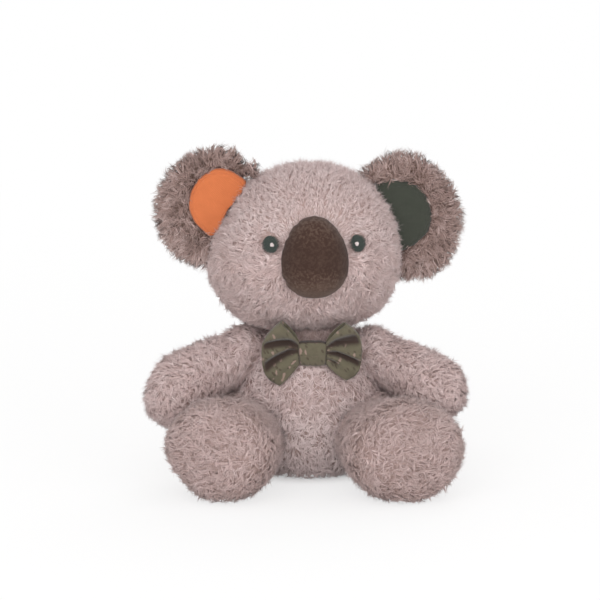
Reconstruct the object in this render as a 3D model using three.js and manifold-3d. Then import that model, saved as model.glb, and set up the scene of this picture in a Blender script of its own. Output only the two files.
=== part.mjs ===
// A seated plush koala, stuffed and sewn, with a bow at its neck.
// Millimetres, +Z up, the toy faces -Y and the middle of its seat rests on the origin.
// Its own right side is at -X. Skins are pile and backing together, so their outside is the tips
// of the fur, and each one holds a stuffing of its own.

import * as THREE from 'three';
import { mergeVertices } from 'three/addons/utils/BufferGeometryUtils.js';
import Module from 'manifold-3d';

const wasm = await Module();
wasm.setup();

// Fabric and running clearances
const SKIN_THICKNESS = 7;
const CLEARANCE = 0.3;
const SEAM_CLEARANCE = 0.8;
const FLAT_DEPTH = 0.5;
const FILLING_HOLE_RADIUS = 7;

// Torso
const TORSO_WIDTH = 125;
const TORSO_DEPTH = 107.6;
const TORSO_HEIGHT = 118;
const TORSO_FORWARD = 2;
const TORSO_OUTLINE_SHARES = [
  [0, 0], [0.42, 0.006], [0.72, 0.065], [0.92, 0.19], [1, 0.36],
  [0.975, 0.55], [0.86, 0.74], [0.735, 0.88], [0.54, 0.965], [0.3, 0.995], [0, 1],
];

// Neck, the ball of stuffing that the head turns on
const NECK_HEIGHT = 118;
const NECK_FORWARD = 6;
const NECK_RADIUS = 28;

// Head
const HEAD_WIDTH = 157;
const HEAD_DEPTH = 128;
const HEAD_HEIGHT = 136;
const HEAD_LIFT = 1;
const HEAD_FORWARD = 12;
const HEAD_SHIFT = -5;
const HEAD_TURN = THREE.MathUtils.degToRad(4);
const CHIN_TUCK_SHARE = 0.37;
const CHIN_HEIGHT_SHARE = 0.5;
const HEAD_OUTLINE_SHARES = [
  [0, 0], [0.46, 0.012], [0.74, 0.075], [0.9, 0.185], [0.98, 0.33], [1, 0.43],
  [0.975, 0.56], [0.89, 0.7], [0.71, 0.84], [0.46, 0.94], [0.2, 0.99], [0, 1],
];

// Face, placed from the middle of the head
const FACE_SHIFT = 4.6;
const NOSE_WIDTH = 54;
const NOSE_HEIGHT = 67;
const NOSE_DEPTH = 46;
const NOSE_RISE = 2;
const NOSE_SINK = 5;
const NOSE_EGG_SHARE = 0.17;
const NOSE_COVER_THICKNESS = 1.5;
const EYE_RADIUS = 6.4;
const EYE_SPACING = 68.5;
const EYE_RISE = 13;
const EYE_THICKNESS = 1.4;
const HIGHLIGHT_RADIUS = 1.6;
const HIGHLIGHT_SHIFT = 1.2;
const HIGHLIGHT_THICKNESS = 0.8;

// Ears, placed from the middle of the head
const EAR_THICKNESS = 27;
const EAR_SKIN_THICKNESS = 8.5;
const EAR_BACK_SHIFT = 8;
const EAR_FULLNESS_SHARE = 0.72;
const EAR_ROLL_RADIUS = 8;
const EAR_ROLL_LENGTH = 44;
const EAR_ROLL_SINK = 2;
const EAR_ROLL_RISE = 17;
const EAR_CREASE = 4.6;
const EAR_HOLE_RADIUS = 3.5;
const RIGHT_EAR_WIDTH = 93;
const RIGHT_EAR_HEIGHT = 103;
const RIGHT_EAR_OUT = 73.5;
const RIGHT_EAR_RISE = 29;
const LEFT_EAR_WIDTH = 90;
const LEFT_EAR_HEIGHT = 110;
const LEFT_EAR_OUT = 83.5;
const LEFT_EAR_RISE = 18;
const EAR_ROOT_LEAN = THREE.MathUtils.degToRad(23.5);
const LINING_WIDTH = 56;
const LINING_HEIGHT = 62;
const LINING_INWARD = 10;
const LINING_RISE = 3;
const LINING_THICKNESS = 1.5;
const LINING_RECESS = 4;

// Arms, from the shoulder to the hand
const SHOULDER_OUT = 45;
const SHOULDER_FORWARD = 7;
const SHOULDER_HEIGHT = 97;
const SHOULDER_RADIUS = 16;
const ARM_RADIUS = 25;
const RIGHT_ARM_REACH = 64;
const LEFT_ARM_REACH = 59;
const ARM_FORWARD = 38;
const RIGHT_ARM_DROP = 36;
const LEFT_ARM_DROP = 32;
const ARM_ROUTE_SHARES = [
  [0, 0, 0], [0.3, 0.22, 0.06], [0.64, 0.52, 0.24], [0.95, 0.88, 0.66], [1.11, 1.14, 1.42],
];
const ARM_OUTLINE_SHARES = [
  [0, 0], [0.6, 0.03], [0.84, 0.13], [0.95, 0.34], [0.99, 0.56],
  [1, 0.72], [0.86, 0.88], [0.5, 0.975], [0, 1],
];

// Legs, from the hip to the sole
const HIP_OUT = 42;
const HIP_FORWARD = 14;
const HIP_HEIGHT = 35;
const HIP_RADIUS = 27;
const RIGHT_FOOT_WIDTH = 91;
const LEFT_FOOT_WIDTH = 96;
const FOOT_HEIGHT = 82.6;
const RIGHT_FOOT_OUT = 38;
const LEFT_FOOT_OUT = 46;
const LEG_REACH = 120;
const LEG_SPREAD = THREE.MathUtils.degToRad(8);
const LEG_ROUTE_SHARES = [[0, 0], [0.32, 0.28], [0.7, 0.66], [1, 1]];
const LEG_OUTLINE_SHARES = [
  [0, 0], [0.46, 0.025], [0.65, 0.12], [0.71, 0.27], [0.8, 0.43], [0.93, 0.59],
  [1, 0.73], [0.95, 0.86], [0.74, 0.955], [0.4, 0.99], [0, 1],
];
const SOLE_SEAM_SHARE = 0.8;

// Bow
const BOW_SHIFT = 2.8;
const BOW_HEIGHT = 106;
const BOW_STANDOFF = 6.3;
const BOW_WIDTH = 79;
const BOW_LEAN = THREE.MathUtils.degToRad(15);
const BOW_LOOP_DEPTH = 11;
const BOW_CLOTH_THICKNESS = 1.2;
const RIGHT_LOOP_HEIGHT = 55;
const LEFT_LOOP_HEIGHT = 49;
const PINCH_HEIGHT = 13;
const PINCH_DEPTH = 3.4;
const PLEAT_DEPTH = 2.6;
const PLEAT_COUNT = 2;
const LOOP_FLARE_SHARE = 0.75;
const LOOP_STRAIGHT_SHARE = 0.7;
const LOOP_CORNER_SHARE = 0.1;
const KNOT_WIDTH = 22;
const KNOT_HEIGHT = 20;
const KNOT_DEPTH = 10;
const KNOT_CLOTH_THICKNESS = 1.4;
const KNOT_OUTLINE_SHARES = [[0, 0], [0.9, 0.01], [0.97, 0.25], [1, 0.5], [0.97, 0.75], [0.9, 0.99], [0, 1]];
const TACK_RADIUS = 1.5;

// Facets round and along each form
const FORM_ROUND = 22;
const FORM_ALONG = 12;
const LIMB_ROUND = 16;
const LIMB_ALONG = 11;
const INNER_ROUND = 12;
const INNER_ALONG = 7;
const NECK_ROUND = 22;
const BALL_ROUND = 16;
const SMALL_ROUND = 10;
const CAP_ALONG = 3;
const LOOP_STEPS = 7;
const BOW_UP = 8;
const KNOT_ALONG = 6;
const HALVINGS = 30;

// Finishes
const furFabric = new THREE.MeshStandardMaterial({ color: 0xb0a09d, roughness: 0.95, metalness: 0 });
const longPile = new THREE.MeshStandardMaterial({ color: 0x8c7672, roughness: 0.95, metalness: 0 });
const fibreFilling = new THREE.MeshStandardMaterial({ color: 0xece8e2, roughness: 1, metalness: 0 });
const noseVelvet = new THREE.MeshStandardMaterial({ color: 0x4e3a33, roughness: 0.8, metalness: 0 });
const eyeThread = new THREE.MeshStandardMaterial({ color: 0x37463d, roughness: 0.6, metalness: 0 });
const whiteThread = new THREE.MeshStandardMaterial({ color: 0xf2f0ea, roughness: 0.6, metalness: 0 });
const orangeWeave = new THREE.MeshStandardMaterial({ color: 0xd97a42, roughness: 0.8, metalness: 0 });
const greenWeave = new THREE.MeshStandardMaterial({ color: 0x3e4640, roughness: 0.8, metalness: 0 });
const oliveCloth = new THREE.MeshStandardMaterial({ color: 0x716c55, roughness: 0.85, metalness: 0 });

// Solids

function solidOf(geometry) {
  const bare = geometry.clone();
  bare.deleteAttribute('normal');
  bare.deleteAttribute('uv');
  const merged = mergeVertices(bare);
  return new wasm.Manifold(new wasm.Mesh({
    numProp: 3,
    vertProperties: new Float32Array(merged.getAttribute('position').array),
    triVerts: new Uint32Array(merged.getIndex().array),
  }));
}

function geometryOf(solid) {
  const mesh = solid.getMesh();
  const geometry = new THREE.BufferGeometry();
  geometry.setAttribute('position', new THREE.BufferAttribute(new Float32Array(mesh.vertProperties), 3));
  geometry.setIndex(new THREE.BufferAttribute(new Uint32Array(mesh.triVerts), 1));
  geometry.computeVertexNormals();
  return geometry;
}

function joined(solids) {
  return solids.reduce((whole, solid) => whole.add(solid));
}

function ball(centre, radius, round) {
  const geometry = new THREE.SphereGeometry(radius, round, round / 2).rotateX(Math.PI / 2);
  return solidOf(geometry.translate(centre.x, centre.y, centre.z));
}

// The hollow that a ball turns in. Its flats clear the ball's corners, both ways where the ball tilts too.
function socket(centre, radius, round, tilts) {
  const flat = Math.cos(Math.PI / round);
  return ball(centre, (radius + CLEARANCE) / (tilts ? flat * flat : flat), round);
}

// A stick from one point to another
function rod(start, end, radius, round) {
  const along = new THREE.Vector3().subVectors(end, start);
  const middle = new THREE.Vector3().addVectors(start, end).multiplyScalar(1 / 2);
  const upright = new THREE.Vector3(0, 1, 0);
  const turn = new THREE.Quaternion().setFromUnitVectors(upright, along.clone().normalize());
  return new THREE.CylinderGeometry(radius, radius, along.length(), round)
    .applyQuaternion(turn)
    .translate(middle.x, middle.y, middle.z);
}

// Stuffed forms. Each takes the amount by which it is grown past its own size, or shrunk.

function outlineOf(outlineShares) {
  return new THREE.SplineCurve(outlineShares.map(([radius, height]) => new THREE.Vector2(radius, height)));
}

// The radius share of an outline at a share of its height, found by halving
function radiusShareAt(outlineShares, heightShare) {
  const outline = outlineOf(outlineShares);
  let low = 0;
  let high = 1;
  for (let i = 0; i < HALVINGS; i += 1) {
    const middle = (low + high) / 2;
    if (outline.getPoint(middle).y < heightShare) low = middle;
    else high = middle;
  }
  return outline.getPoint(low).x;
}

// A form of revolution about +Y, of unit radius and unit length, through a hand-drawn outline
function swelling(outlineShares, round, along) {
  const outline = outlineOf(outlineShares);
  const points = [];
  for (let i = 0; i <= along; i += 1) {
    const point = outline.getPoint(i / along);
    points.push(new THREE.Vector2(i % along === 0 ? 0 : Math.max(point.x, 0), point.y));
  }
  return new THREE.LatheGeometry(points, round);
}

function uprightForm(outlineShares, width, depth, height, grow, round, along) {
  return swelling(outlineShares, round, along)
    .rotateX(Math.PI / 2)
    .scale(width / 2 + grow, depth / 2 + grow, height + 2 * grow);
}

// The same kind of form laid along a bent route, as a stuffed limb lies
function limbForm(outlineShares, width, height, route, grow, round, along) {
  const geometry = swelling(outlineShares, round, along);
  const position = geometry.getAttribute('position');
  const upright = new THREE.Vector3(0, 0, 1);
  const length = route.getLength();
  for (let i = 0; i < position.count; i += 1) {
    const at = position.getY(i) * (length + 2 * grow) - grow;
    const share = THREE.MathUtils.clamp(at / length, 0, 1);
    const tangent = route.getTangentAt(share);
    const across = new THREE.Vector3().crossVectors(tangent, upright).normalize();
    const over = new THREE.Vector3().crossVectors(across, tangent);
    const place = route.getPointAt(share)
      .addScaledVector(tangent, at - share * length)
      .addScaledVector(across, position.getX(i) * (width / 2 + grow))
      .addScaledVector(over, position.getZ(i) * (height / 2 + grow));
    position.setXYZ(i, place.x, place.y, place.z);
  }
  return geometry;
}

// The filling hole at a limb's root, through the ball and out of its inner side
function fillingHole(pivot, outward, reach, sink, radius) {
  const start = pivot.clone().addScaledVector(outward, reach);
  const end = pivot.clone().addScaledVector(outward, -sink);
  return solidOf(rod(start, end, radius, SMALL_ROUND));
}

const floorSpan = TORSO_WIDTH + TORSO_DEPTH + LEG_REACH + RIGHT_ARM_REACH + LEFT_ARM_REACH;
const floorBlock = new THREE.BoxGeometry(floorSpan, floorSpan, floorSpan);
const floorCutter = solidOf(floorBlock.translate(0, 0, -floorSpan / 2));

// Torso

const neckPivot = new THREE.Vector3(0, -NECK_FORWARD, NECK_HEIGHT);

function torsoForm(grow, round, along) {
  const height = TORSO_HEIGHT + FLAT_DEPTH;
  return uprightForm(TORSO_OUTLINE_SHARES, TORSO_WIDTH, TORSO_DEPTH, height, grow, round, along)
    .translate(0, -TORSO_FORWARD, -FLAT_DEPTH - grow);
}

function sideValues(right) {
  const sign = right ? -1 : 1;
  return {
    name: right ? 'right' : 'left',
    sign,
    armReach: right ? RIGHT_ARM_REACH : LEFT_ARM_REACH,
    armDrop: right ? RIGHT_ARM_DROP : LEFT_ARM_DROP,
    footOut: right ? RIGHT_FOOT_OUT : LEFT_FOOT_OUT,
    footWidth: right ? RIGHT_FOOT_WIDTH : LEFT_FOOT_WIDTH,
    earWidth: right ? RIGHT_EAR_WIDTH : LEFT_EAR_WIDTH,
    earHeight: right ? RIGHT_EAR_HEIGHT : LEFT_EAR_HEIGHT,
    earOut: right ? RIGHT_EAR_OUT : LEFT_EAR_OUT,
    earRise: right ? RIGHT_EAR_RISE : LEFT_EAR_RISE,
    lining: right ? orangeWeave : greenWeave,
    shoulder: new THREE.Vector3(sign * SHOULDER_OUT, -SHOULDER_FORWARD, SHOULDER_HEIGHT),
    hip: new THREE.Vector3(sign * HIP_OUT, -HIP_FORWARD, HIP_HEIGHT),
  };
}

const sides = [sideValues(true), sideValues(false)];

function torsoPieces() {
  const sockets = joined([
    socket(neckPivot, NECK_RADIUS, NECK_ROUND, false),
    ...sides.map((side) => socket(side.shoulder, SHOULDER_RADIUS, BALL_ROUND, true)),
    ...sides.map((side) => socket(side.hip, HIP_RADIUS, BALL_ROUND, false)),
  ]);
  const inside = (extra) => solidOf(torsoForm(-SKIN_THICKNESS - extra, INNER_ROUND, INNER_ALONG));
  const form = solidOf(torsoForm(0, FORM_ROUND, FORM_ALONG)).subtract(floorCutter);
  return {
    skin: form.subtract(inside(0)).subtract(sockets),
    stuffing: inside(CLEARANCE).subtract(sockets),
  };
}

// Arms: a ball in the shoulder's socket, and a tube that swells to the hand and lies on the leg

function armRoute(side) {
  return new THREE.CatmullRomCurve3(ARM_ROUTE_SHARES.map(([out, forward, down]) => new THREE.Vector3(
    side.sign * out * side.armReach,
    -forward * ARM_FORWARD,
    -down * side.armDrop,
  ).add(side.shoulder)));
}

function armForm(side, grow, round, along) {
  return limbForm(ARM_OUTLINE_SHARES, 2 * ARM_RADIUS, 2 * ARM_RADIUS, armRoute(side), grow, round, along);
}

function armPieces(side) {
  const around = (grow, round, along) => solidOf(torsoForm(grow, round, along))
    .add(solidOf(spreadLeg(side, grow, round, along)));
  const form = solidOf(armForm(side, 0, LIMB_ROUND, LIMB_ALONG))
    .subtract(around(SEAM_CLEARANCE, FORM_ROUND, FORM_ALONG))
    .add(ball(side.shoulder, SHOULDER_RADIUS, BALL_ROUND));
  const inside = (extra) => solidOf(armForm(side, -SKIN_THICKNESS - extra, INNER_ROUND, INNER_ALONG))
    .subtract(around(SEAM_CLEARANCE + SKIN_THICKNESS + extra, INNER_ROUND, INNER_ALONG));
  const outward = armRoute(side).getTangentAt(0);
  const hole = fillingHole(
    side.shoulder,
    outward,
    SHOULDER_RADIUS + SKIN_THICKNESS,
    SHOULDER_RADIUS + CLEARANCE,
    FILLING_HOLE_RADIUS,
  );
  return { skin: form.subtract(inside(0)).subtract(hole), stuffing: inside(CLEARANCE) };
}

// Legs: a ball in the hip's socket, a thigh that swells to the foot, and a sole sewn over its front

// The foot's middle lies higher than the hip, so that both stand on the table
function legRoute(side) {
  const rise = FOOT_HEIGHT / 2 - FLAT_DEPTH - HIP_HEIGHT;
  return new THREE.CatmullRomCurve3(LEG_ROUTE_SHARES.map(([forward, out]) => new THREE.Vector3(
    side.sign * out * side.footOut,
    -forward * LEG_REACH,
    forward * rise,
  ).add(side.hip)));
}

function legForm(side, grow, round, along) {
  return limbForm(LEG_OUTLINE_SHARES, side.footWidth, FOOT_HEIGHT, legRoute(side), grow, round, along);
}

// The leg turned out as far as it gives
function spreadLeg(side, grow, round, along) {
  return legForm(side, grow, round, along)
    .translate(-side.hip.x, -side.hip.y, 0)
    .rotateZ(side.sign * LEG_SPREAD)
    .translate(side.hip.x, side.hip.y, 0);
}

// All that lies in front of the sole's seam, as a wide block square to the leg
function frontOfSeam(side, shift) {
  const route = legRoute(side);
  const toward = route.getTangentAt(SOLE_SEAM_SHARE);
  const start = route.getPointAt(SOLE_SEAM_SHARE).addScaledVector(toward, shift);
  const end = route.getPointAt(SOLE_SEAM_SHARE).addScaledVector(toward, LEG_REACH);
  return solidOf(rod(start, end, side.footWidth, SMALL_ROUND));
}

function legPieces(side) {
  const torsoNear = (grow, round, along) => solidOf(torsoForm(grow, round, along));
  const form = solidOf(legForm(side, 0, LIMB_ROUND, LIMB_ALONG))
    .subtract(torsoNear(SEAM_CLEARANCE, FORM_ROUND, FORM_ALONG))
    .add(ball(side.hip, HIP_RADIUS, BALL_ROUND))
    .subtract(floorCutter);
  const inside = (extra) => solidOf(legForm(side, -SKIN_THICKNESS - extra, INNER_ROUND, INNER_ALONG))
    .subtract(torsoNear(SEAM_CLEARANCE + SKIN_THICKNESS + extra, INNER_ROUND, INNER_ALONG));
  const hole = fillingHole(
    side.hip,
    legRoute(side).getTangentAt(0),
    HIP_RADIUS + SKIN_THICKNESS,
    HIP_RADIUS + CLEARANCE,
    FILLING_HOLE_RADIUS,
  );
  const walls = form.subtract(inside(0)).subtract(hole);
  return {
    skin: walls.subtract(frontOfSeam(side, -CLEARANCE / 2)),
    sole: walls.intersect(frontOfSeam(side, CLEARANCE / 2)),
    stuffing: inside(CLEARANCE),
  };
}

// Head, in its own frame: the origin is the neck pivot, the face looks along -Y

const neckOrigin = new THREE.Vector3();
const headMiddle = new THREE.Vector3(HEAD_SHIFT, -HEAD_FORWARD, HEAD_LIFT + HEAD_HEIGHT / 2);

// Round as seen from the front, with the chin tucked in below the jowls
function headForm(grow, round, along) {
  const geometry = uprightForm(HEAD_OUTLINE_SHARES, HEAD_WIDTH, HEAD_DEPTH, HEAD_HEIGHT, grow, round, along);
  const position = geometry.getAttribute('position');
  const chinTop = CHIN_HEIGHT_SHARE * HEAD_HEIGHT;
  for (let i = 0; i < position.count; i += 1) {
    const low = Math.max(1 - (position.getZ(i) - grow) / chinTop, 0);
    const ahead = position.getY(i);
    if (ahead < 0) position.setY(i, ahead * (1 - CHIN_TUCK_SHARE * Math.min(low * low, 1)));
  }
  return geometry.translate(headMiddle.x, headMiddle.y, HEAD_LIFT - grow);
}

function noseForm(grow, round) {
  const geometry = new THREE.SphereGeometry(1, round, round / 2).rotateX(Math.PI / 2);
  const position = geometry.getAttribute('position');
  for (let i = 0; i < position.count; i += 1) {
    position.setX(i, position.getX(i) * (1 - NOSE_EGG_SHARE * position.getZ(i)));
  }
  const ahead = headMiddle.y - HEAD_DEPTH / 2 + NOSE_SINK;
  return geometry
    .scale(NOSE_WIDTH / 2 + grow, NOSE_DEPTH / 2 + grow, NOSE_HEIGHT / 2 + grow)
    .translate(headMiddle.x + FACE_SHIFT, ahead, headMiddle.z + NOSE_RISE);
}

function nosePieces() {
  const face = solidOf(headForm(CLEARANCE, FORM_ROUND, FORM_ALONG));
  const pad = (extra) => solidOf(noseForm(-NOSE_COVER_THICKNESS - extra, LIMB_ROUND));
  return {
    cover: solidOf(noseForm(0, LIMB_ROUND)).subtract(pad(0)).subtract(face),
    stuffing: pad(CLEARANCE).subtract(face),
  };
}

// A patch that lies on the face: a straight plug cut between two levels above the pile
function facePatch(x, z, radius, low, high) {
  const start = new THREE.Vector3(x, headMiddle.y, z);
  const end = new THREE.Vector3(x, headMiddle.y - HEAD_DEPTH, z);
  return solidOf(rod(start, end, radius, SMALL_ROUND))
    .intersect(solidOf(headForm(high, FORM_ROUND, FORM_ALONG)))
    .subtract(solidOf(headForm(low, FORM_ROUND, FORM_ALONG)));
}

function eyePieces(side) {
  const x = headMiddle.x + FACE_SHIFT + (side.sign * EYE_SPACING) / 2;
  const z = headMiddle.z + EYE_RISE;
  const glint = x - side.sign * HIGHLIGHT_SHIFT;
  const top = CLEARANCE + EYE_THICKNESS;
  return {
    disc: facePatch(x, z, EYE_RADIUS, CLEARANCE, top),
    highlight: facePatch(glint, z, HIGHLIGHT_RADIUS, top + CLEARANCE, top + CLEARANCE + HIGHLIGHT_THICKNESS),
  };
}

// Ears: flat pillows with a full rim, each on a roll along its seam that folds in the head's groove

function earMiddle(side) {
  return new THREE.Vector3(side.sign * side.earOut, EAR_BACK_SHIFT, side.earRise).add(headMiddle);
}

function earPivot(side) {
  const heightShare = 1 / 2 + EAR_ROLL_RISE / HEAD_HEIGHT;
  const out = (HEAD_WIDTH / 2) * radiusShareAt(HEAD_OUTLINE_SHARES, heightShare) - EAR_ROLL_SINK;
  return new THREE.Vector3(side.sign * out, EAR_BACK_SHIFT, EAR_ROLL_RISE).add(headMiddle);
}

function earForm(side, grow) {
  const geometry = new THREE.SphereGeometry(1, LIMB_ROUND, LIMB_ALONG).rotateX(Math.PI / 2);
  const position = geometry.getAttribute('position');
  for (let i = 0; i < position.count; i += 1) {
    const depth = position.getY(i);
    position.setY(i, Math.sign(depth) * Math.abs(depth) ** EAR_FULLNESS_SHARE);
  }
  const middle = earMiddle(side);
  return solidOf(geometry
    .scale(side.earWidth / 2 + grow, EAR_THICKNESS / 2 + grow, side.earHeight / 2 + grow)
    .translate(middle.x, middle.y, middle.z));
}

function earRoll(side, radius) {
  const pivot = earPivot(side);
  const geometry = new THREE.CapsuleGeometry(radius, EAR_ROLL_LENGTH, CAP_ALONG, SMALL_ROUND)
    .rotateX(Math.PI / 2)
    .rotateY(-side.sign * EAR_ROOT_LEAN)
    .translate(pivot.x, pivot.y, pivot.z);
  return solidOf(geometry);
}

// The lining's outline, as an oval plug that leaves the ear's middle and passes out of its front
function liningPlug(side, grow) {
  const middle = earMiddle(side);
  return solidOf(new THREE.CylinderGeometry(1, 1, EAR_THICKNESS, LIMB_ROUND)
    .scale(LINING_WIDTH / 2 + grow, 1, LINING_HEIGHT / 2 + grow)
    .translate(middle.x - side.sign * LINING_INWARD, middle.y - EAR_THICKNESS / 2, middle.z + LINING_RISE));
}

function earPieces(side) {
  const headNear = (grow) => solidOf(headForm(grow, FORM_ROUND, FORM_ALONG));
  const lowered = earForm(side, -LINING_RECESS);
  const bed = earForm(side, -LINING_RECESS - LINING_THICKNESS - CLEARANCE);
  const inside = (extra) => earForm(side, -EAR_SKIN_THICKNESS - extra)
    .subtract(headNear(EAR_CREASE + EAR_ROLL_RADIUS + extra));
  const outward = new THREE.Vector3(side.sign, 0, 0);
  const hole = fillingHole(
    earPivot(side),
    outward,
    2 * EAR_ROLL_RADIUS + EAR_CREASE,
    EAR_ROLL_RADIUS + CLEARANCE,
    EAR_HOLE_RADIUS,
  );
  return {
    pile: earForm(side, 0)
      .subtract(headNear(EAR_CREASE))
      .subtract(liningPlug(side, CLEARANCE).subtract(bed))
      .add(earRoll(side, EAR_ROLL_RADIUS).subtract(liningPlug(side, CLEARANCE).subtract(bed)))
      .subtract(inside(0))
      .subtract(hole),
    lining: liningPlug(side, 0)
      .intersect(lowered)
      .subtract(earForm(side, -LINING_RECESS - LINING_THICKNESS))
      .subtract(headNear(EAR_CREASE)),
    stuffing: inside(CLEARANCE),
  };
}

function headPieces() {
  const grooveRadius = (EAR_ROLL_RADIUS + CLEARANCE) / Math.cos(Math.PI / SMALL_ROUND);
  const grooves = joined([
    socket(neckOrigin, NECK_RADIUS, NECK_ROUND, true),
    ...sides.map((side) => earRoll(side, grooveRadius)),
  ]);
  const inside = (extra) => solidOf(headForm(-SKIN_THICKNESS - extra, INNER_ROUND, INNER_ALONG));
  return {
    skin: solidOf(headForm(0, FORM_ROUND, FORM_ALONG)).subtract(inside(0)).subtract(grooves),
    stuffing: inside(CLEARANCE).subtract(grooves),
  };
}

// Bow: one closed band of cloth, seen from above as two loops pinched at the middle

// A loop's half height where it is open by a share of its length past the knot
function bowHalfHeight(loopHeight, open) {
  const corner = 1 - LOOP_CORNER_SHARE * THREE.MathUtils.smoothstep(open, LOOP_STRAIGHT_SHARE, 1);
  return ((PINCH_HEIGHT + (loopHeight - PINCH_HEIGHT) * open ** LOOP_FLARE_SHARE) * corner) / 2;
}

// A point of the band: a step round it seen from above, a rise from -1 to 1, and a depth below its face.
// The first step of each quarter is the flat cloth under the knot, the others go round the loop's end.
function bowPoint(step, rise, inset) {
  const quarter = Math.floor(step / LOOP_STEPS);
  const taken = step % LOOP_STEPS;
  const progress = quarter % 2 === 0 ? taken : LOOP_STEPS - taken;
  const swing = ((Math.PI / 2) * Math.max(progress - 1, 0)) / (LOOP_STEPS - 1);
  const side = quarter < 2 ? 1 : -1;
  const front = quarter === 0 || quarter === 3 ? 1 : -1;
  const held = KNOT_WIDTH / 2 + CLEARANCE;
  const open = Math.sin(swing);
  const x = Math.min(progress, 1) * (held + (BOW_WIDTH / 2 - inset - held) * open);
  const depth = PINCH_DEPTH + (BOW_LOOP_DEPTH - PINCH_DEPTH) * Math.sqrt(open);
  const bulge = front * Math.sqrt(Math.cos(swing)) * (depth / 2 - inset);
  const groove = (1 - Math.cos(rise * PLEAT_COUNT * Math.PI)) / 2;
  const pleat = front > 0 ? PLEAT_DEPTH * Math.sqrt(open) * Math.cos(swing) * groove : 0;
  const z = rise * bowHalfHeight(side < 0 ? RIGHT_LOOP_HEIGHT : LEFT_LOOP_HEIGHT, open);
  return new THREE.Vector3(side * x, pleat - bulge - (depth - PINCH_DEPTH) / 2, z);
}

function bowCloth() {
  const positions = [];
  const index = [];
  const around = 4 * LOOP_STEPS;
  const row = BOW_UP + 1;
  const layer = around * row;
  [0, BOW_CLOTH_THICKNESS].forEach((inset) => {
    for (let i = 0; i < around; i += 1) {
      for (let j = 0; j < row; j += 1) {
        positions.push(...bowPoint(i, (2 * j) / BOW_UP - 1, inset).toArray());
      }
    }
  });
  const quad = (a, b, c, d) => index.push(a, b, c, a, c, d);
  for (let i = 0; i < around; i += 1) {
    const here = i * row;
    const next = ((i + 1) % around) * row;
    for (let j = 0; j < BOW_UP; j += 1) {
      quad(here + j, next + j, next + j + 1, here + j + 1);
      quad(layer + here + j, layer + here + j + 1, layer + next + j + 1, layer + next + j);
    }
    quad(here, layer + here, layer + next, next);
    quad(here + BOW_UP, next + BOW_UP, layer + next + BOW_UP, layer + here + BOW_UP);
  }
  const geometry = new THREE.BufferGeometry();
  geometry.setAttribute('position', new THREE.Float32BufferAttribute(positions, 3));
  geometry.setIndex(index);
  return geometry;
}

// The wrap round the pinch: a short band, fuller at its middle
function knotWrap() {
  const outer = swelling(KNOT_OUTLINE_SHARES, LIMB_ROUND, KNOT_ALONG)
    .rotateZ(Math.PI / 2)
    .scale(KNOT_WIDTH, KNOT_DEPTH / 2, KNOT_HEIGHT / 2)
    .translate(KNOT_WIDTH / 2, 0, 0);
  const slot = new THREE.CylinderGeometry(1, 1, 2 * KNOT_WIDTH, LIMB_ROUND)
    .rotateZ(Math.PI / 2)
    .scale(1, KNOT_DEPTH / 2 - KNOT_CLOTH_THICKNESS, KNOT_HEIGHT / 2 - KNOT_CLOTH_THICKNESS);
  return solidOf(outer).subtract(solidOf(slot));
}

// The bow stands off the chest and leans out over the jaw
function bowPieces() {
  const chestShare = radiusShareAt(TORSO_OUTLINE_SHARES, BOW_HEIGHT / TORSO_HEIGHT);
  const chestFront = -TORSO_FORWARD - (TORSO_DEPTH / 2) * chestShare;
  const ahead = chestFront - BOW_STANDOFF - KNOT_DEPTH / 2;
  const placed = (geometry) => solidOf(geometry.rotateX(BOW_LEAN).translate(BOW_SHIFT, ahead, BOW_HEIGHT));
  const knotBack = ahead + KNOT_DEPTH / 2 / Math.cos(BOW_LEAN) + TACK_RADIUS * Math.tan(BOW_LEAN);
  const tackStart = new THREE.Vector3(BOW_SHIFT, knotBack + CLEARANCE, BOW_HEIGHT);
  const tackEnd = new THREE.Vector3(BOW_SHIFT, knotBack + 2 * BOW_STANDOFF, BOW_HEIGHT);
  return {
    cloth: placed(bowCloth()),
    knot: placed(geometryOf(knotWrap())),
    tack: solidOf(rod(tackStart, tackEnd, TACK_RADIUS, SMALL_ROUND))
      .subtract(solidOf(torsoForm(CLEARANCE, FORM_ROUND, FORM_ALONG))),
  };
}

// The assembly: each moving group turns about its own origin

function piece(name, solid, material) {
  const mesh = new THREE.Mesh(geometryOf(solid), material.clone());
  mesh.name = name;
  return mesh;
}

// Puts pieces that were modelled in the parent's frame into a group whose origin is their pivot
function hung(pivot, pieces) {
  const group = new THREE.Group();
  group.position.copy(pivot);
  pieces.forEach((mesh) => {
    mesh.position.copy(pivot).negate();
    group.add(mesh);
  });
  return group;
}

const torso = torsoPieces();
const bow = bowPieces();
const koala = new THREE.Group();
koala.add(piece('torso_skin', torso.skin, furFabric));
koala.add(piece('torso_stuffing', torso.stuffing, fibreFilling));
koala.add(piece('bow_cloth', bow.cloth, oliveCloth));
koala.add(piece('bow_knot_wrap', bow.knot, oliveCloth));
koala.add(piece('bow_tack', bow.tack, oliveCloth));

sides.forEach((side) => {
  const arm = armPieces(side);
  koala.add(hung(side.shoulder, [
    piece(`${side.name}_arm_skin`, arm.skin, furFabric),
    piece(`${side.name}_arm_stuffing`, arm.stuffing, fibreFilling),
  ]));
  const leg = legPieces(side);
  koala.add(hung(side.hip, [
    piece(`${side.name}_leg_skin`, leg.skin, furFabric),
    piece(`${side.name}_foot_sole`, leg.sole, furFabric),
    piece(`${side.name}_leg_stuffing`, leg.stuffing, fibreFilling),
  ]));
});

const neck = new THREE.Group();
neck.position.copy(neckPivot);
neck.rotation.z = HEAD_TURN;
neck.add(piece('neck_stuffing', ball(neckOrigin, NECK_RADIUS, NECK_ROUND), fibreFilling));
koala.add(neck);

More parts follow.
